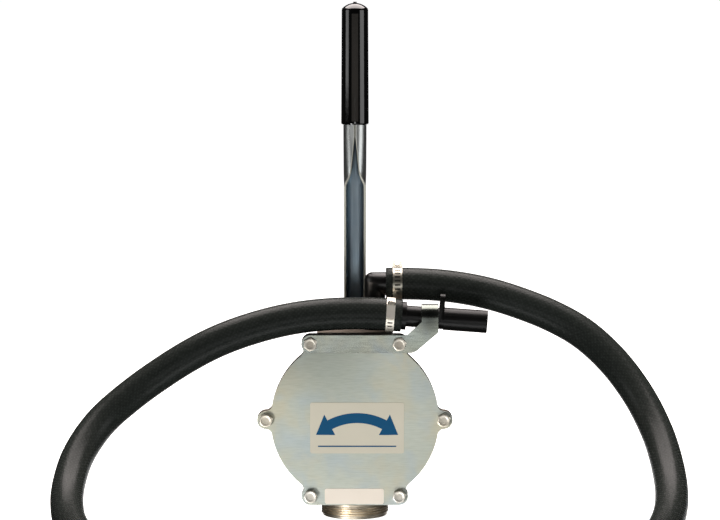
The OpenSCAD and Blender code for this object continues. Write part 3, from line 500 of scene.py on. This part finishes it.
def zinc_plating(name, base, warm, cool, roughness):
    """Bright zinc on sheet steel: a pale satin metal with passivation clouds and fine rolling lines,
    which are stronger in a rougher one."""
    finish, tree = new_finish(name)
    place = add(tree, "ShaderNodeTexCoord").outputs["Object"]
    cloud = add(tree, "ShaderNodeTexNoise", {"Vector": place, "Scale": 1 / 0.045, "Detail": 4.0,
        "Roughness": 0.55})
    drift = add(tree, "ShaderNodeTexNoise", {"Vector": place, "Scale": 1 / 0.028, "Detail": 3.0,
        "Distortion": 0.6})
    along = add(tree, "ShaderNodeMapping", {"Vector": place, "Scale": (1 / 0.009, 1 / 0.009, 1 / 0.0009)})
    lines = add(tree, "ShaderNodeTexNoise", {"Vector": along.outputs[0], "Scale": 1.0, "Detail": 3.0})
    warmth = add(tree, "ShaderNodeMapRange", {"Value": cloud.outputs["Fac"], "From Min": 0.42,
        "From Max": 0.68})
    coolth = add(tree, "ShaderNodeMapRange", {"Value": drift.outputs["Fac"], "From Min": 0.45,
        "From Max": 0.72})
    tint = add(tree, "ShaderNodeMix", {"Factor": warmth.outputs[0], "A": colour(base), "B": colour(warm)},
        data_type="RGBA")
    tint = add(tree, "ShaderNodeMix", {"Factor": coolth.outputs[0], "A": tint.outputs["Result"],
        "B": colour(cool)}, data_type="RGBA")
    gloss = add(tree, "ShaderNodeMapRange", {"Value": lines.outputs["Fac"], "From Min": 0.3, "From Max": 0.7,
        "To Min": roughness * 0.88, "To Max": roughness * 1.12})
    bump = add(tree, "ShaderNodeBump", {"Height": lines.outputs["Fac"], "Distance": 0.00004,
        "Strength": roughness**2 / 3})
    return coated(finish, tint, gloss, bump, metallic=1.0)


def overpainted(finish, code, mask):
    """Mixes another colour into a finish by a mask, for painted shade and painted highlight."""
    tree = finish.node_tree
    shader = tree.nodes["Principled BSDF"]
    fresh = shader.inputs["Base Color"].links[0].from_socket
    tint = add(tree, "ShaderNodeMix", {"Factor": mask, "A": fresh, "B": colour(code)}, data_type="RGBA")
    tree.links.new(tint.outputs["Result"], shader.inputs["Base Color"])
    return finish


def patch(finish, middle, reach):
    """A mask that fades out from a point over a distance."""
    tree = finish.node_tree
    place = add(tree, "ShaderNodeTexCoord").outputs["Object"]
    near = add(tree, "ShaderNodeMapping", {"Vector": place, "Location": middle,
        "Scale": (reach, reach, reach)}, vector_type="TEXTURE")
    fade = add(tree, "ShaderNodeTexGradient", {"Vector": near.outputs[0]}, gradient_type="SPHERICAL")
    soft = add(tree, "ShaderNodeMapRange", {"Value": fade.outputs["Fac"]}, interpolation_type="SMOOTHSTEP")
    return soft.outputs[0]


plate_zinc = zinc_plating("plate_zinc", "#c8ccc1", "#cdc9b5", "#bfc8c7", roughness=0.66)
# Painted shade: the plate is darker towards its upper left, fading out from a point.
overpainted(plate_zinc, "#b2b7ad", patch(plate_zinc, plate_shade_middle, plate_shade_reach))
paint(fibre, "cover_gasket")
dress(softened("cover_plate", 0.0006, segments=3), "cover_plate", plate_zinc)

# Cover bolts
# Six quarter-inch hex bolts with a washer face and a dish in the head, zinc plated. The two at the top also
# hold the clip. Shade is painted into each dish, deeper in those two. Each was run down to its own angle.
bolt_af = 0.0111
bolt_head = 0.004
bolt_r = 0.003175
washer_face = 0.0004
bolt_crown = (
    (0.0053, 0.00005), (0.0048, 0.0), (0.0042, 0.00005),
    (0.0037, 0.00016), (0.0033, 0.00026), (0.0029, 0.0003),
)
bolt_steps = 72
face_share = 0.99
head_chamfer = math.radians(30)
rim_drop = 0.0002
dish_r = 0.0033
cover_dish_shade = 0.3
clip_dish_shade = 0.8
bolt_circle_r = 0.0795
shaft_z = 0.090
y_cover = -0.029
y_clip = -0.031
y_bolt_tip = -0.016
bolt_turns = (8, 20, 3, 12, 25, 16)


def hex_bolt(name, length, dish_shading):
    """One bolt along +Y with the seat of its head at the origin and its head towards -Y."""
    made = bmesh.new()
    painted_dish_shade = made.verts.layers.float.new("painted_dish_shade")
    face_r = bolt_af / 2 * face_share
    top = rim_drop - bolt_head

    def ring(depth, r=None, slope=0.0):
        """A ring of points, round or else hexagonal, that may slope back outside the face."""
        spots = []
        for k in range(bolt_steps):
            turn = 2 * math.pi * k / bolt_steps
            out = r or bolt_af / 2 / math.cos((turn + math.pi / 6) % (math.pi / 3) - math.pi / 6)
            y = depth + slope * (out - face_r)
            spots.append(made.verts.new((out * math.cos(turn), y, out * math.sin(turn))))
        return spots

    rings = [ring(length, bolt_r), ring(0, bolt_r), ring(0, face_r), ring(-washer_face, face_r)]
    rings += [ring(-washer_face), ring(top, slope=math.tan(head_chamfer)), ring(top, face_r)]
    for r, drop in bolt_crown:
        rings.append(ring(drop - bolt_head, r))
        for vert in rings[-1]:
            vert[painted_dish_shade] = dish_shading if r < dish_r else 0.0
    made.faces.new(rings[0])
    walled(made, rings)
    made.faces.new(list(reversed(rings[-1])))
    return finished(made, name, corner=32)


def bolt_pattern():
    """A node tree that puts a bolt at each point, turned by the point's own angle."""
    tree = bpy.data.node_groups.new("bolt_pattern", "GeometryNodeTree")
    for name, kind in (("Geometry", "Geometry"), ("Bolt", "Object"), ("Finish", "Material")):
        tree.interface.new_socket(name, in_out="INPUT", socket_type="NodeSocket" + kind)
    tree.interface.new_socket("Geometry", in_out="OUTPUT", socket_type="NodeSocketGeometry")
    given = add(tree, "NodeGroupInput")
    bolt = add(tree, "GeometryNodeObjectInfo", {"Object": given.outputs["Bolt"]})
    turn = add(tree, "GeometryNodeInputNamedAttribute", {"Name": "turn"}, data_type="FLOAT")
    spin = add(tree, "ShaderNodeCombineXYZ", {"Y": turn.outputs["Attribute"]})
    placed = add(tree, "GeometryNodeInstanceOnPoints", {"Points": given.outputs["Geometry"],
        "Instance": bolt.outputs["Geometry"], "Rotation": spin.outputs[0]})
    real = add(tree, "GeometryNodeRealizeInstances", {"Geometry": placed.outputs[0]})
    done = add(tree, "GeometryNodeSetMaterial", {"Geometry": real.outputs[0],
        "Material": given.outputs["Finish"]})
    add(tree, "NodeGroupOutput", {"Geometry": done.outputs[0]})
    return tree


def bolt_set(name, numbers, seat, dish_shading, pattern, finish):
    """The bolts of one group as one mesh, on their seats round the bolt circle."""
    angles = [2 * math.pi * i / len(bolt_turns) for i in numbers]
    mesh = bpy.data.meshes.new(name)
    mesh.from_pydata(
        [(bolt_circle_r * math.cos(a), seat, shaft_z + bolt_circle_r * math.sin(a)) for a in angles], [], [])
    turns = mesh.attributes.new("turn", "FLOAT", "POINT")
    for i, number in enumerate(numbers):
        turns.data[i].value = math.radians(bolt_turns[number])
    piece = bpy.data.objects.new(name, mesh)
    scene.collection.objects.link(piece)
    bolt = hex_bolt(name + "_one", y_bolt_tip - seat, dish_shading)
    grown = piece.modifiers.new("bolts", "NODES")
    grown.node_group = pattern
    sockets = {item.name: item.identifier for item in pattern.interface.items_tree if item.in_out == "INPUT"}
    grown[sockets["Bolt"]] = bolt
    grown[sockets["Finish"]] = finish
    settled(piece)
    bpy.data.objects.remove(bolt)
    return piece


bolt_zinc = zinc_plating("bolt_zinc", "#e2dbcc", "#e4dbc7", "#dad7cf", roughness=0.44)
dish_shade_mask = add(bolt_zinc.node_tree, "ShaderNodeAttribute", attribute_name="painted_dish_shade").outputs["Fac"]
# Painted shade in the dish of each head, deeper in the two that hold the clip.
overpainted(bolt_zinc, "#aaa294", dish_shade_mask)
pattern = bolt_pattern()
cover_bolts = bolt_set("cover_bolts_dressed", (0, 3, 4, 5), y_cover, cover_dish_shade, pattern, bolt_zinc)
clip_bolts = bolt_set("clip_bolts_dressed", (1, 2), y_clip, clip_dish_shade, pattern, bolt_zinc)
dress(cover_bolts, "cover_bolts", bolt_zinc)
dress(clip_bolts, "clip_bolts", bolt_zinc)
dress(softened("bridge_screws", 0.0002), "bridge_screws", bolt_zinc)

# Decal and label
# A printed film in the middle of the cover, with a two-way arrow for the lever's stroke over a rule, and a
# blank label at the bottom. Both are stuck on, so their edges stand a hair proud.
arrow_middle = Vector((0.002, 0, 0.040))
arrow_r = 0.052
arrow_half_w = 0.0045
arrow_half_angle = math.radians(28)
arrow_head_angle = math.radians(17)
arrow_head_half_w = 0.0105
rule_half_w = 0.035
rule_half_h = 0.0006
rule_z = 0.0665
ink_t = 0.00005


def satin_film(name, base, mottle, roughness, specular=0.5):
    """Vinyl film: a flat, even colour under a satin coat, with the plate's slight waviness in it."""
    finish, tree = new_finish(name)
    place = add(tree, "ShaderNodeTexCoord").outputs["Object"]
    waves = add(tree, "ShaderNodeTexNoise", {"Vector": place, "Scale": 1 / 0.03, "Detail": 3.0})
    fine = add(tree, "ShaderNodeTexNoise", {"Vector": place, "Scale": 1 / 0.0012, "Detail": 2.0})
    tint, gloss = toned(tree, waves.outputs["Fac"], (base, mottle), roughness, spread=0.06)
    bump = add(tree, "ShaderNodeBump", {"Height": fine.outputs["Fac"], "Distance": 0.00003, "Strength": 0.2})
    return coated(finish, tint, gloss, bump, specular=specular)


def printed(name, outlines, back, finish):
    """Flat shapes of ink in the plane of the cover, as one thin mesh."""
    made = bmesh.new()
    for outline in outlines:
        face = made.faces.new([made.verts.new((x, back, z)) for x, z in outline])
        grown = bmesh.ops.extrude_face_region(made, geom=[face])
        moved = [v for v in grown["geom"] if isinstance(v, bmesh.types.BMVert)]
        bmesh.ops.translate(made, verts=moved, vec=(0, -ink_t, 0))
    piece = finished(made, name, corner=30)
    piece.data.materials.append(finish)
    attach(piece, "pump")


def two_way_arrow():
    """Outline of an arched arrow with a head at both ends."""

    def on_arc(r, angle):
        return (arrow_middle.x + r * math.sin(angle), arrow_middle.z + r * math.cos(angle))

    steps = 24
    arc = [arrow_half_angle * (2 * k / steps - 1) for k in range(steps + 1)]
    tip = arrow_half_angle + arrow_head_angle
    return (
        [on_arc(arrow_r + arrow_half_w, a) for a in arc]
        + [on_arc(arrow_r + arrow_head_half_w, arrow_half_angle), on_arc(arrow_r, tip)]
        + [on_arc(arrow_r - arrow_head_half_w, arrow_half_angle)]
        + [on_arc(arrow_r - arrow_half_w, -a) for a in arc]
        + [on_arc(arrow_r - arrow_head_half_w, -arrow_half_angle), on_arc(arrow_r, -tip)]
        + [on_arc(arrow_r + arrow_head_half_w, -arrow_half_angle)]
    )


square = ((-1, -1), (1, -1), (1, 1), (-1, 1))
rule = [(arrow_middle.x + sx * rule_half_w, rule_z + sz * rule_half_h) for sx, sz in square]
paint(satin_film("decal_film", "#d7d0bd", "#cec8b5", roughness=0.42), "front_decal")
paint(satin_film("label_film", "#f8ecdd", "#f2e6d5", roughness=0.55), "plain_label")
blue_ink = satin_film("blue_ink", "#06507a", "#054a70", roughness=0.4, specular=0.2)
decal_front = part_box("front_decal")[0].y
printed("decal_print", [two_way_arrow(), rule], decal_front, blue_ink)

# Clip
# A plated steel strip under the two top bolts. Its end turns up beside the spout, and is folded back
# over it and down behind it, so that the hook on the spout hangs on it. Shade is painted in a dark band at
# the bend, in place of a dark reflection.
clip_shade_middle = Vector((0.067, -0.034, 0.182))
clip_shade_reach = 0.0215
clip_zinc = zinc_plating("clip_zinc", "#7e837a", "#828277", "#7a807e", roughness=0.25)
# Painted shade: a dark band over the bend, fading out from it, in place of a dark reflection.
overpainted(clip_zinc, "#3c3f3c", patch(clip_zinc, clip_shade_middle, clip_shade_reach))
dress(softened("nozzle_clip", 0.0004), "nozzle_clip", clip_zinc)

# Outlet elbow
# Black plastic, screwed into the top of the casing over a rubber seal, with a tail for the hose. Its two
# legs meet in a close bend, round on the outside, and tight on the inside with a little web.
elbow_low, elbow_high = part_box("outlet_elbow")
seal_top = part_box("outlet_seal")[1].z
hose_stop = Vector(outlet_route[0])
leg_r = 0.009
arm_r = 0.0105
elbow_spigot_r = 0.008
elbow_tail_r = 0.0094
elbow_edge = 0.0006
elbow_steps = 64
bend_steps = 12
bend_outside = 0.007
bend_inside = 0.0004
bend_web = 0.0009


def bent_elbow():
    """The elbow: its lines run up one leg, round the bend and along the other."""
    made = bmesh.new()
    leg_x = elbow_low.x + leg_r
    lines = []
    for i in range(elbow_steps):
        around = 2 * math.pi * i / elbow_steps
        inwards, deep = math.cos(around), math.sin(around)
        bend = bend_outside + (bend_inside - bend_outside) * (1 + inwards) / 2
        line = [
            (leg_x + r * inwards, r * deep, z)
            for r, z in (
                (elbow_spigot_r, elbow_low.z),
                (elbow_spigot_r, seal_top),
                (leg_r - elbow_edge, seal_top),
                (leg_r, seal_top + elbow_edge),
            )
        ]
        for k in range(bend_steps + 1):
            turn = math.pi / 2 * k / bend_steps
            x = leg_x + (leg_r + bend_web * max(0, inwards)) * inwards + bend * (1 - math.cos(turn))
            z = hose_stop.z - arm_r * inwards - bend * (1 - math.sin(turn))
            line.append((x, (leg_r + (arm_r - leg_r) * k / bend_steps) * deep, z))
        line += [
            (x, r * deep, hose_stop.z - r * inwards)
            for r, x in ((arm_r, hose_stop.x), (elbow_tail_r, hose_stop.x), (elbow_tail_r, elbow_high.x))
        ]
        lines.append([made.verts.new((x, hose_stop.y + y, z)) for x, y, z in line])
    rings = list(zip(*lines))
    walled(made, rings)
    made.faces.new(rings[0])
    made.faces.new(rings[-1])
    return finished(made, "outlet_elbow_dressed", corner=40)


elbow_plastic = moulded_plastic("elbow_nylon", "#060606", "#0b0b0a", grain=0.0007, roughness=0.3,
    specular=0.45)
elbow = dress(bent_elbow(), "outlet_elbow", elbow_plastic)

# Hose clamps
# Worm-drive clamps of bright stainless strip: a slotted band, a pressed housing and a hex screw. The two
# are lit and shaded copies of one steel: the one at the spout is painted brighter, as painted light, and
# the one at the outlet darker, as painted shade. The one at the spout is of a narrower strip than its solid.
strip_share = 0.86


def bright_strip(name, base, shade, roughness):
    """Stainless strip: a bright, faintly brushed metal, a little darker in its lines."""
    finish, tree = new_finish(name)
    place = add(tree, "ShaderNodeTexCoord").outputs["Object"]
    along = add(tree, "ShaderNodeMapping", {"Vector": place, "Scale": (1 / 0.0005, 1 / 0.012, 1 / 0.012)})
    lines = add(tree, "ShaderNodeTexNoise", {"Vector": along.outputs[0], "Scale": 1.0, "Detail": 4.0})
    tint, gloss = toned(tree, lines.outputs["Fac"], (shade, base), roughness, spread=0.08)
    bump = add(tree, "ShaderNodeBump", {"Height": lines.outputs["Fac"], "Distance": 0.00003, "Strength": 0.2})
    return coated(finish, tint, gloss, bump, metallic=1.0)


# Lit and shaded copies of one steel: painted light on the spout's clamp, painted shade on the outlet's.
lit_clamp_steel = bright_strip("lit_clamp_stainless", "#fff9ee", "#f1ebdf", roughness=0.55)
shaded_clamp_steel = bright_strip("shaded_clamp_stainless", "#c0bdb0", "#a5a296", roughness=0.36)
dress(softened("outlet_clamp", 0.00012), "outlet_clamp", shaded_clamp_steel)
nozzle_clamp = dress(softened("nozzle_clamp", 0.00012), "nozzle_clamp", lit_clamp_steel)
clamp_low, clamp_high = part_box("nozzle_clamp")
clamp_middle = (clamp_low.x + clamp_high.x) / 2
for vert in nozzle_clamp.data.vertices:
    vert.co.x = clamp_middle + (vert.co.x - clamp_middle) * strip_share
dress(softened("clamp_screws", 0.0003), "clamp_screws", bolt_zinc)

# Spout
# Black moulded plastic, with a barbed tail, a flange to stop the hose, a neck that lies in the clip and a
# hook that hangs on it.
black_plastic = moulded_plastic("black_nylon", "#060606", "#0b0b0a", grain=0.0007, roughness=0.34,
    specular=0.24)
dress(softened("nozzle_spout", 0.0005), "nozzle_spout", black_plastic)

# Lever
# One strip of steel, pressed to a channel where it sits on the shaft's square and rolled to a tube at
# the top, so a seam runs up the front. It is bright drawn, with a blue cast; shade is painted inside the
# channel and the tube's mouth, and its rougher cut edges are painted paler, partly as a painted highlight.
lever_low, lever_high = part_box("lever_arm")
lever_w = 0.020
sheet_t = 0.002
sheet_edge = 0.0005
pivot_corner = 0.004
trough_corner = 0.006
tube_r = 0.0105
pivot_wall = 0.010
pivot_end = 0.013
walls_grow = (0.032, 0.076)
trough_starts = 0.110
tube_starts = 0.204
tube_closed = 0.249
seam_half = 0.0004
strip_across = 36
end_steps = 15
end_turn = math.radians(5.8)
widening_steps = 8
closing_steps = 40
closing_lag = 0.05
closing_flare = 0.17
mouth_reach = 0.055
inside_dull = 0.6
dull_roughness = 0.2


def pressed_strip():
    """The strip in fine steps: its section goes from a rounded end to a channel, a trough and a tube."""
    deep = lever_high.y - lever_low.y
    back = lever_high.y - sheet_t / 2
    mid_r = tube_r - sheet_t / 2
    seam = math.pi * mid_r - seam_half
    edge_turns = [math.radians(a) for a in (30, 60, 90)]

    def spans(corner):
        """From the middle of the back: to the end of its flat, and round the corner to the wall."""
        flat = (lever_w - sheet_t) / 2 - corner
        return flat, flat + corner * math.pi / 2

    def reach_of(corner, depth):
        return spans(corner)[1] + depth - sheet_t / 2 - corner

    def channel(s, corner):
        flat, wall = spans(corner)
        side = math.copysign(1, s)
        turn = (min(abs(s), wall) - flat) / corner
        if turn < 0:
            return Vector((s, back)), Vector((0, 1))
        x = flat + corner * math.sin(turn)
        y = back - corner * (1 - math.cos(turn)) - max(0, abs(s) - wall)
        return Vector((side * x, y)), Vector((side * math.sin(turn), math.cos(turn)))

    def tube(s):
        out = Vector((math.sin(s / mid_r), math.cos(s / mid_r)))
        return mid_r * out + Vector((0, (lever_low.y + lever_high.y) / 2)), out

    def section(z, reach, closed, corner):
        """One ring: along the outside, round a cut edge, back along the inside and round the other."""

        def at(s, out, on=0.0):
            (a, a_out), (b, b_out) = channel(s, corner), tube(s)
            way = a_out.lerp(b_out, closed).normalized()
            spot = a.lerp(b, closed) + out * way + on * Vector((way.y, -way.x))
            vert = made.verts.new((spot.x, spot.y, shaft_z + z))
            vert[inside] = 1.0 if out < 0 else 0.0
            vert[cut_edge] = 1.0 if on else 0.0
            return vert

        edge = min(sheet_edge, reach / 4)
        far = reach - edge
        face = sheet_t / 2
        marks = [far * k / strip_across for k in range(-strip_across, strip_across + 1)]
        round_out = [(face - edge + edge * math.cos(t), edge * math.sin(t)) for t in edge_turns]
        round_in = [(-out, on) for out, on in reversed(round_out)]
        ring = [at(s, face) for s in marks] + [at(far, out, on) for out, on in round_out + round_in]
        ring += [at(s, -face) for s in reversed(marks)]
        return ring + [at(-far, -out, -on) for out, on in round_out + round_in]

    low = reach_of(pivot_corner, pivot_wall)

    def end_reach(x):
        """Reach of the strip where its rounded end has the half width x."""
        flat, wall = spans(pivot_corner)
        if x > flat + pivot_corner:
            return wall + (low - wall) * (x - flat - pivot_corner) / (lever_w / 2 - flat - pivot_corner)
        return flat + pivot_corner * math.asin((x - flat) / pivot_corner) if x > flat else x

    made = bmesh.new()
    inside = made.verts.layers.float.new("inside")
    cut_edge = made.verts.layers.float.new("cut_edge")
    rings = []
    for k in range(end_steps, -1, -1):
        turn = end_turn * k
        z = lever_w / 2 - pivot_end - lever_w / 2 * math.sin(turn)
        rings.append(section(z, end_reach(lever_w / 2 * math.cos(turn)), 0, pivot_corner))
    rings.append(section(walls_grow[0], low, 0, pivot_corner))
    for k in range(widening_steps + 1):
        share = k / widening_steps
        corner = pivot_corner + (trough_corner - pivot_corner) * share**2 * (3 - 2 * share)
        z = walls_grow[1] + (trough_starts - walls_grow[1]) * share
        rings.append(section(z, reach_of(corner, deep), 0, corner))
    full = reach_of(trough_corner, deep)
    # The walls lean in quickly at first, and then steadily up to the seam.
    for k in range(closing_steps + 1):
        share = k / closing_steps
        slow = (1 + closing_lag) * share**2 / (share + closing_lag)
        closed = (1 + slow - math.exp(-((share / closing_flare) ** 2))) / 2 if k < closing_steps else 1
        z = tube_starts + (tube_closed - tube_starts) * share
        rings.append(section(z, full + (seam - full) * closed, closed, trough_corner))
    rings.append(section(lever_high.z - shaft_z, seam, 1, trough_corner))
    walled(made, rings)
    made.faces.new(rings[0])
    made.faces.new(rings[-1])
    return finished(made, "lever_arm_dressed", corner=40)


def drawn_steel():
    """Bright drawn steel with fine lines along the strip: silver outside, and inside a blue cast made darker
    as painted shade, with more painted shade where the tube closes, and rougher sheared edges painted paler
    and warmer, partly raw cut steel and partly a painted highlight."""
    finish, tree = new_finish("drawn_steel")
    place = add(tree, "ShaderNodeTexCoord").outputs["Object"]
    along = add(tree, "ShaderNodeMapping", {"Vector": place, "Scale": (1 / 0.0011, 1 / 0.0011, 1 / 0.05)})
    lines = add(tree, "ShaderNodeTexNoise", {"Vector": along.outputs[0], "Scale": 1.0, "Detail": 3.0})
    mottle = add(tree, "ShaderNodeTexNoise", {"Vector": place, "Scale": 1 / 0.03, "Detail": 3.0})
    within = add(tree, "ShaderNodeAttribute", attribute_name="inside").outputs["Fac"]
    sheared = add(tree, "ShaderNodeAttribute", attribute_name="cut_edge").outputs["Fac"]
    silver = add(tree, "ShaderNodeMix", {"Factor": mottle.outputs["Fac"], "A": colour("#b7bdbe"),
        "B": colour("#c9cbc8")}, data_type="RGBA")
    blue = add(tree, "ShaderNodeMix", {"Factor": mottle.outputs["Fac"], "A": colour("#869bab"),
        "B": colour("#a9b3b8")}, data_type="RGBA")
    # The inside's darker blue is a blue cast with painted shade.
    tint = add(tree, "ShaderNodeMix", {"Factor": within, "A": silver.outputs["Result"],
        "B": blue.outputs["Result"]}, data_type="RGBA")
    gloss = add(tree, "ShaderNodeMapRange", {"Value": lines.outputs["Fac"], "From Min": 0.3, "From Max": 0.7,
        "To Min": 0.26, "To Max": 0.4})
    dull = add(tree, "ShaderNodeMath", {0: within, 1: inside_dull, 2: sheared}, operation="MULTIPLY_ADD")
    gloss = add(tree, "ShaderNodeMath", {0: dull.outputs[0], 1: dull_roughness, 2: gloss.outputs[0]},
        operation="MULTIPLY_ADD")
    bump = add(tree, "ShaderNodeBump", {"Height": lines.outputs["Fac"], "Distance": 0.00004,
        "Strength": 0.15})
    coated(finish, tint, gloss, bump, metallic=1.0)
    # The paler, warmer cut edges: raw cut steel, and partly a painted highlight.
    overpainted(finish, "#d6d5c9", sheared)
    tube_mouth = Vector((0, (lever_low.y + lever_high.y) / 2, shaft_z + tube_closed))
    # Painted shade inside the tube where it closes.
    mouth_shade = add(tree, "ShaderNodeMath", {0: within, 1: patch(finish, tube_mouth, mouth_reach)},
        operation="MULTIPLY")
    return overpainted(finish, "#232c33", mouth_shade.outputs[0])


dress(pressed_strip(), "lever_arm", drawn_steel())
dress(softened("lever_washer", 0.0003), "lever_washer", bolt_zinc)
dress(softened("lever_nut", 0.0005), "lever_nut", bolt_zinc)

# Grip
# Black vinyl, dipped onto the tube: a soft gloss, a rounded foot, a low dome on top, and the small
# nub where the last drop set.
grip_low, grip_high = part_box("lever_grip")
grip_middle = (grip_low + grip_high) / 2
grip_r = (grip_high.x - grip_low.x) / 2
grip_taper = 0.0005
grip_top_r = grip_r - grip_taper
grip_foot = 0.0015
grip_wall = 0.0019
lip_steps = 8
wall_marks = (0.02, 0.5, 0.97, 1)
nub_r = 0.0016
nub_h = 0.0012
nub_gap = 0.0006
nub_outline = ((1, 0), (0.96, 0.8), (0.8, 0.97), (0, 1))
dome_h = 0.0054
dome_edge = 0.0012
dome_share = 0.96
dome_steps = 12


def turned(name, profile, middle):
    """A shape turned about an upright axis from its half outline, radius and height."""
    made = bmesh.new()
    turns = [2 * math.pi * k / round_steps for k in range(round_steps)]
    rings = []
    for r, z in profile:
        spots = [(middle.x + r * math.cos(t), middle.y + r * math.sin(t), z) for t in turns]
        if r:
            rings.append([made.verts.new(spot) for spot in spots])
        else:
            rings.append([made.verts.new(spots[0])] * round_steps)
    walled(made, rings)
    return finished(made, name, corner=40)


def grip_outline():
    """Half outline of the grip, from the end of its bore round its mouth to the top of the nub."""
    foot = grip_low.z
    top = grip_high.z - nub_h
    dome_r = (grip_top_r**2 + dome_h**2) / (2 * dome_h)
    inner = grip_r - grip_wall
    profile = [(0, lever_high.z), (inner, lever_high.z)]
    for k in range(lip_steps + 1):
        turn = math.pi * k / lip_steps
        r = grip_r - grip_wall / 2 - grip_wall / 2 * math.cos(turn)
        profile.append((r, foot + grip_foot * (1 - math.sin(turn))))
    foot_top, wall_top = foot + grip_foot, top - dome_h - dome_edge
    for share in wall_marks:
        profile.append((grip_r + (grip_top_r - grip_r) * share, foot_top + (wall_top - foot_top) * share))
    spread = math.asin(grip_top_r / dome_r)
    for k in range(dome_steps + 1):
        turn = spread * (1 - k / dome_steps) * dome_share
        r = dome_r * math.sin(turn)
        if r > nub_r + nub_gap:
            profile.append((r, top - dome_r * (1 - math.cos(turn))))
    return profile + [(nub_r * r, top + nub_h * h) for r, h in nub_outline]


def dipped_vinyl():
    """Dipped vinyl: a deep black with a soft gloss, a slight orange peel and a few scuffs."""
    finish, tree = new_finish("dipped_vinyl")
    place = add(tree, "ShaderNodeTexCoord").outputs["Object"]
    peel = add(tree, "ShaderNodeTexNoise", {"Vector": place, "Scale": 1 / 0.004, "Detail": 2.0})
    scuff = add(tree, "ShaderNodeTexNoise", {"Vector": place, "Scale": 1 / 0.02, "Detail": 6.0,
        "Roughness": 0.7})
    tint, gloss = toned(tree, scuff.outputs["Fac"], ("#010101", "#040404"), roughness=0.095, spread=0.035,
        marks=(0.35, 0.75))
    bump = add(tree, "ShaderNodeBump", {"Height": peel.outputs["Fac"], "Distance": 0.0001, "Strength": 0.12})
    return coated(finish, tint, gloss, bump, specular=0.72)


dress(turned("lever_grip_dressed", grip_outline(), grip_middle), "lever_grip", dipped_vinyl())

# Studio
# A plain white room. One wide soft light hangs overhead, behind the pump. The key and a fill come from low
# in front, with three dim lights farther off, a softbox at each side and a wide light low behind.
lights = (
    ("overhead", (0.0, 0.6, 1.5), (0.0, 0.6, 0.2), (1.8, 1.4), 51.0, "#fff5f2"),
    ("key_low_left", (-1.1, -1.6, -0.9), (0.0, 0.0, 0.12), (0.45, 0.45), 30.0, "#ffffff"),
    ("fill_low", (0.05, -0.6, -0.5), (0.0, 0.0, 0.08), (0.8, 0.3), 2.5, "#ffffff"),
    ("front_low", (0.0, -2.4, -0.33), (0.0, 0.0, 0.1), (0.9, 0.4), 3.2, "#ffffff"),
    ("front_level", (0.0, -2.4, 0.0), (0.0, 0.0, 0.27), (0.5, 0.26), 1.15, "#ffffff"),
    ("front_wide", (0.0, -2.4, 0.3), (0.0, 0.0, 0.35), (2.6, 0.24), 0.76, "#fff4e8"),
    ("side_left", (-1.43, -0.46, 0.68), (0.0, 0.0, 0.6), (0.8, 0.75), 3.6, "#ffffff"),
    ("side_right", (1.36, -0.63, 0.5), (0.0, 0.0, 0.45), (1.05, 0.9), 5.6, "#ffffff"),
    ("side_strip", (-1.35, -0.85, 0.04), (0.0, 0.0, 0.2), (1.0, 0.24), 4.6, "#fff0e4"),
    ("behind_low", (0.3, 2.4, -0.7), (0.0, 0.0, 0.12), (2.6, 1.2), 12.0, "#ffffff"),
)
for name, place, aim, size, power, tint in lights:
    lamp = bpy.data.lights.new(name, "AREA")
    lamp.color = colour(tint)[:3]
    lamp.shape = "RECTANGLE"
    lamp.size, lamp.size_y = size
    lamp.energy = power
    holder = bpy.data.objects.new(name, lamp)
    holder.location = place
    holder.rotation_euler = (Vector(aim) - Vector(place)).to_track_quat("-Z", "Y").to_euler()
    holder.visible_camera = False
    scene.collection.objects.link(holder)

# From behind, the key would glare along the underside of the hose, so the hose is kept out of it.
shaded = bpy.data.collections.new("shaded_from_key")
shaded.objects.link(hose)
shaded.collection_objects[0].light_linking.link_state = "EXCLUDE"
bpy.data.objects["key_low_left"].light_linking.receiver_collection = shaded

# The strip light is flagged off from all but the elbow, which it gives a line of light.
lit = bpy.data.collections.new("lit_by_side_strip")
lit.objects.link(elbow)
bpy.data.objects["side_strip"].light_linking.receiver_collection = lit

floor_half = 30.0
floor_mesh = bpy.data.meshes.new("floor")
floor_mesh.from_pydata(
    [(sx * floor_half, sy * floor_half, 0) for sx, sy in square], [], [(0, 1, 2, 3)])
floor = bpy.data.objects.new("floor", floor_mesh)
scene.collection.objects.link(floor)
floor_white, floor_tree = new_finish("floor_white")
floor_shader = floor_tree.nodes["Principled BSDF"]
floor_shader.inputs["Base Color"].default_value = colour("#f4f4f2")
floor_shader.inputs["Roughness"].default_value = 0.9
floor_shader.inputs["Emission Color"].default_value = colour("#ffffff")
floor_shader.inputs["Emission Strength"].default_value = 1.0
floor_mesh.materials.append(floor_white)
floor.visible_glossy = False
floor.visible_diffuse = False
floor.visible_shadow = False

world = bpy.data.worlds.new("studio")
world.use_nodes = True
scene.world = world
sky = world.node_tree
sky.nodes.clear()
seen = add(sky, "ShaderNodeBackground", {"Color": (1, 1, 1, 1), "Strength": 1.0})
room = add(sky, "ShaderNodeBackground", {"Color": (1, 1, 1, 1), "Strength": 0.025})
ray = add(sky, "ShaderNodeLightPath")
choice = add(sky, "ShaderNodeMixShader", {0: ray.outputs["Is Camera Ray"], 1: room.outputs[0],
    2: seen.outputs[0]})
add(sky, "ShaderNodeOutputWorld", {"Surface": choice.outputs[0]})
scene.view_settings.view_transform = "Standard"
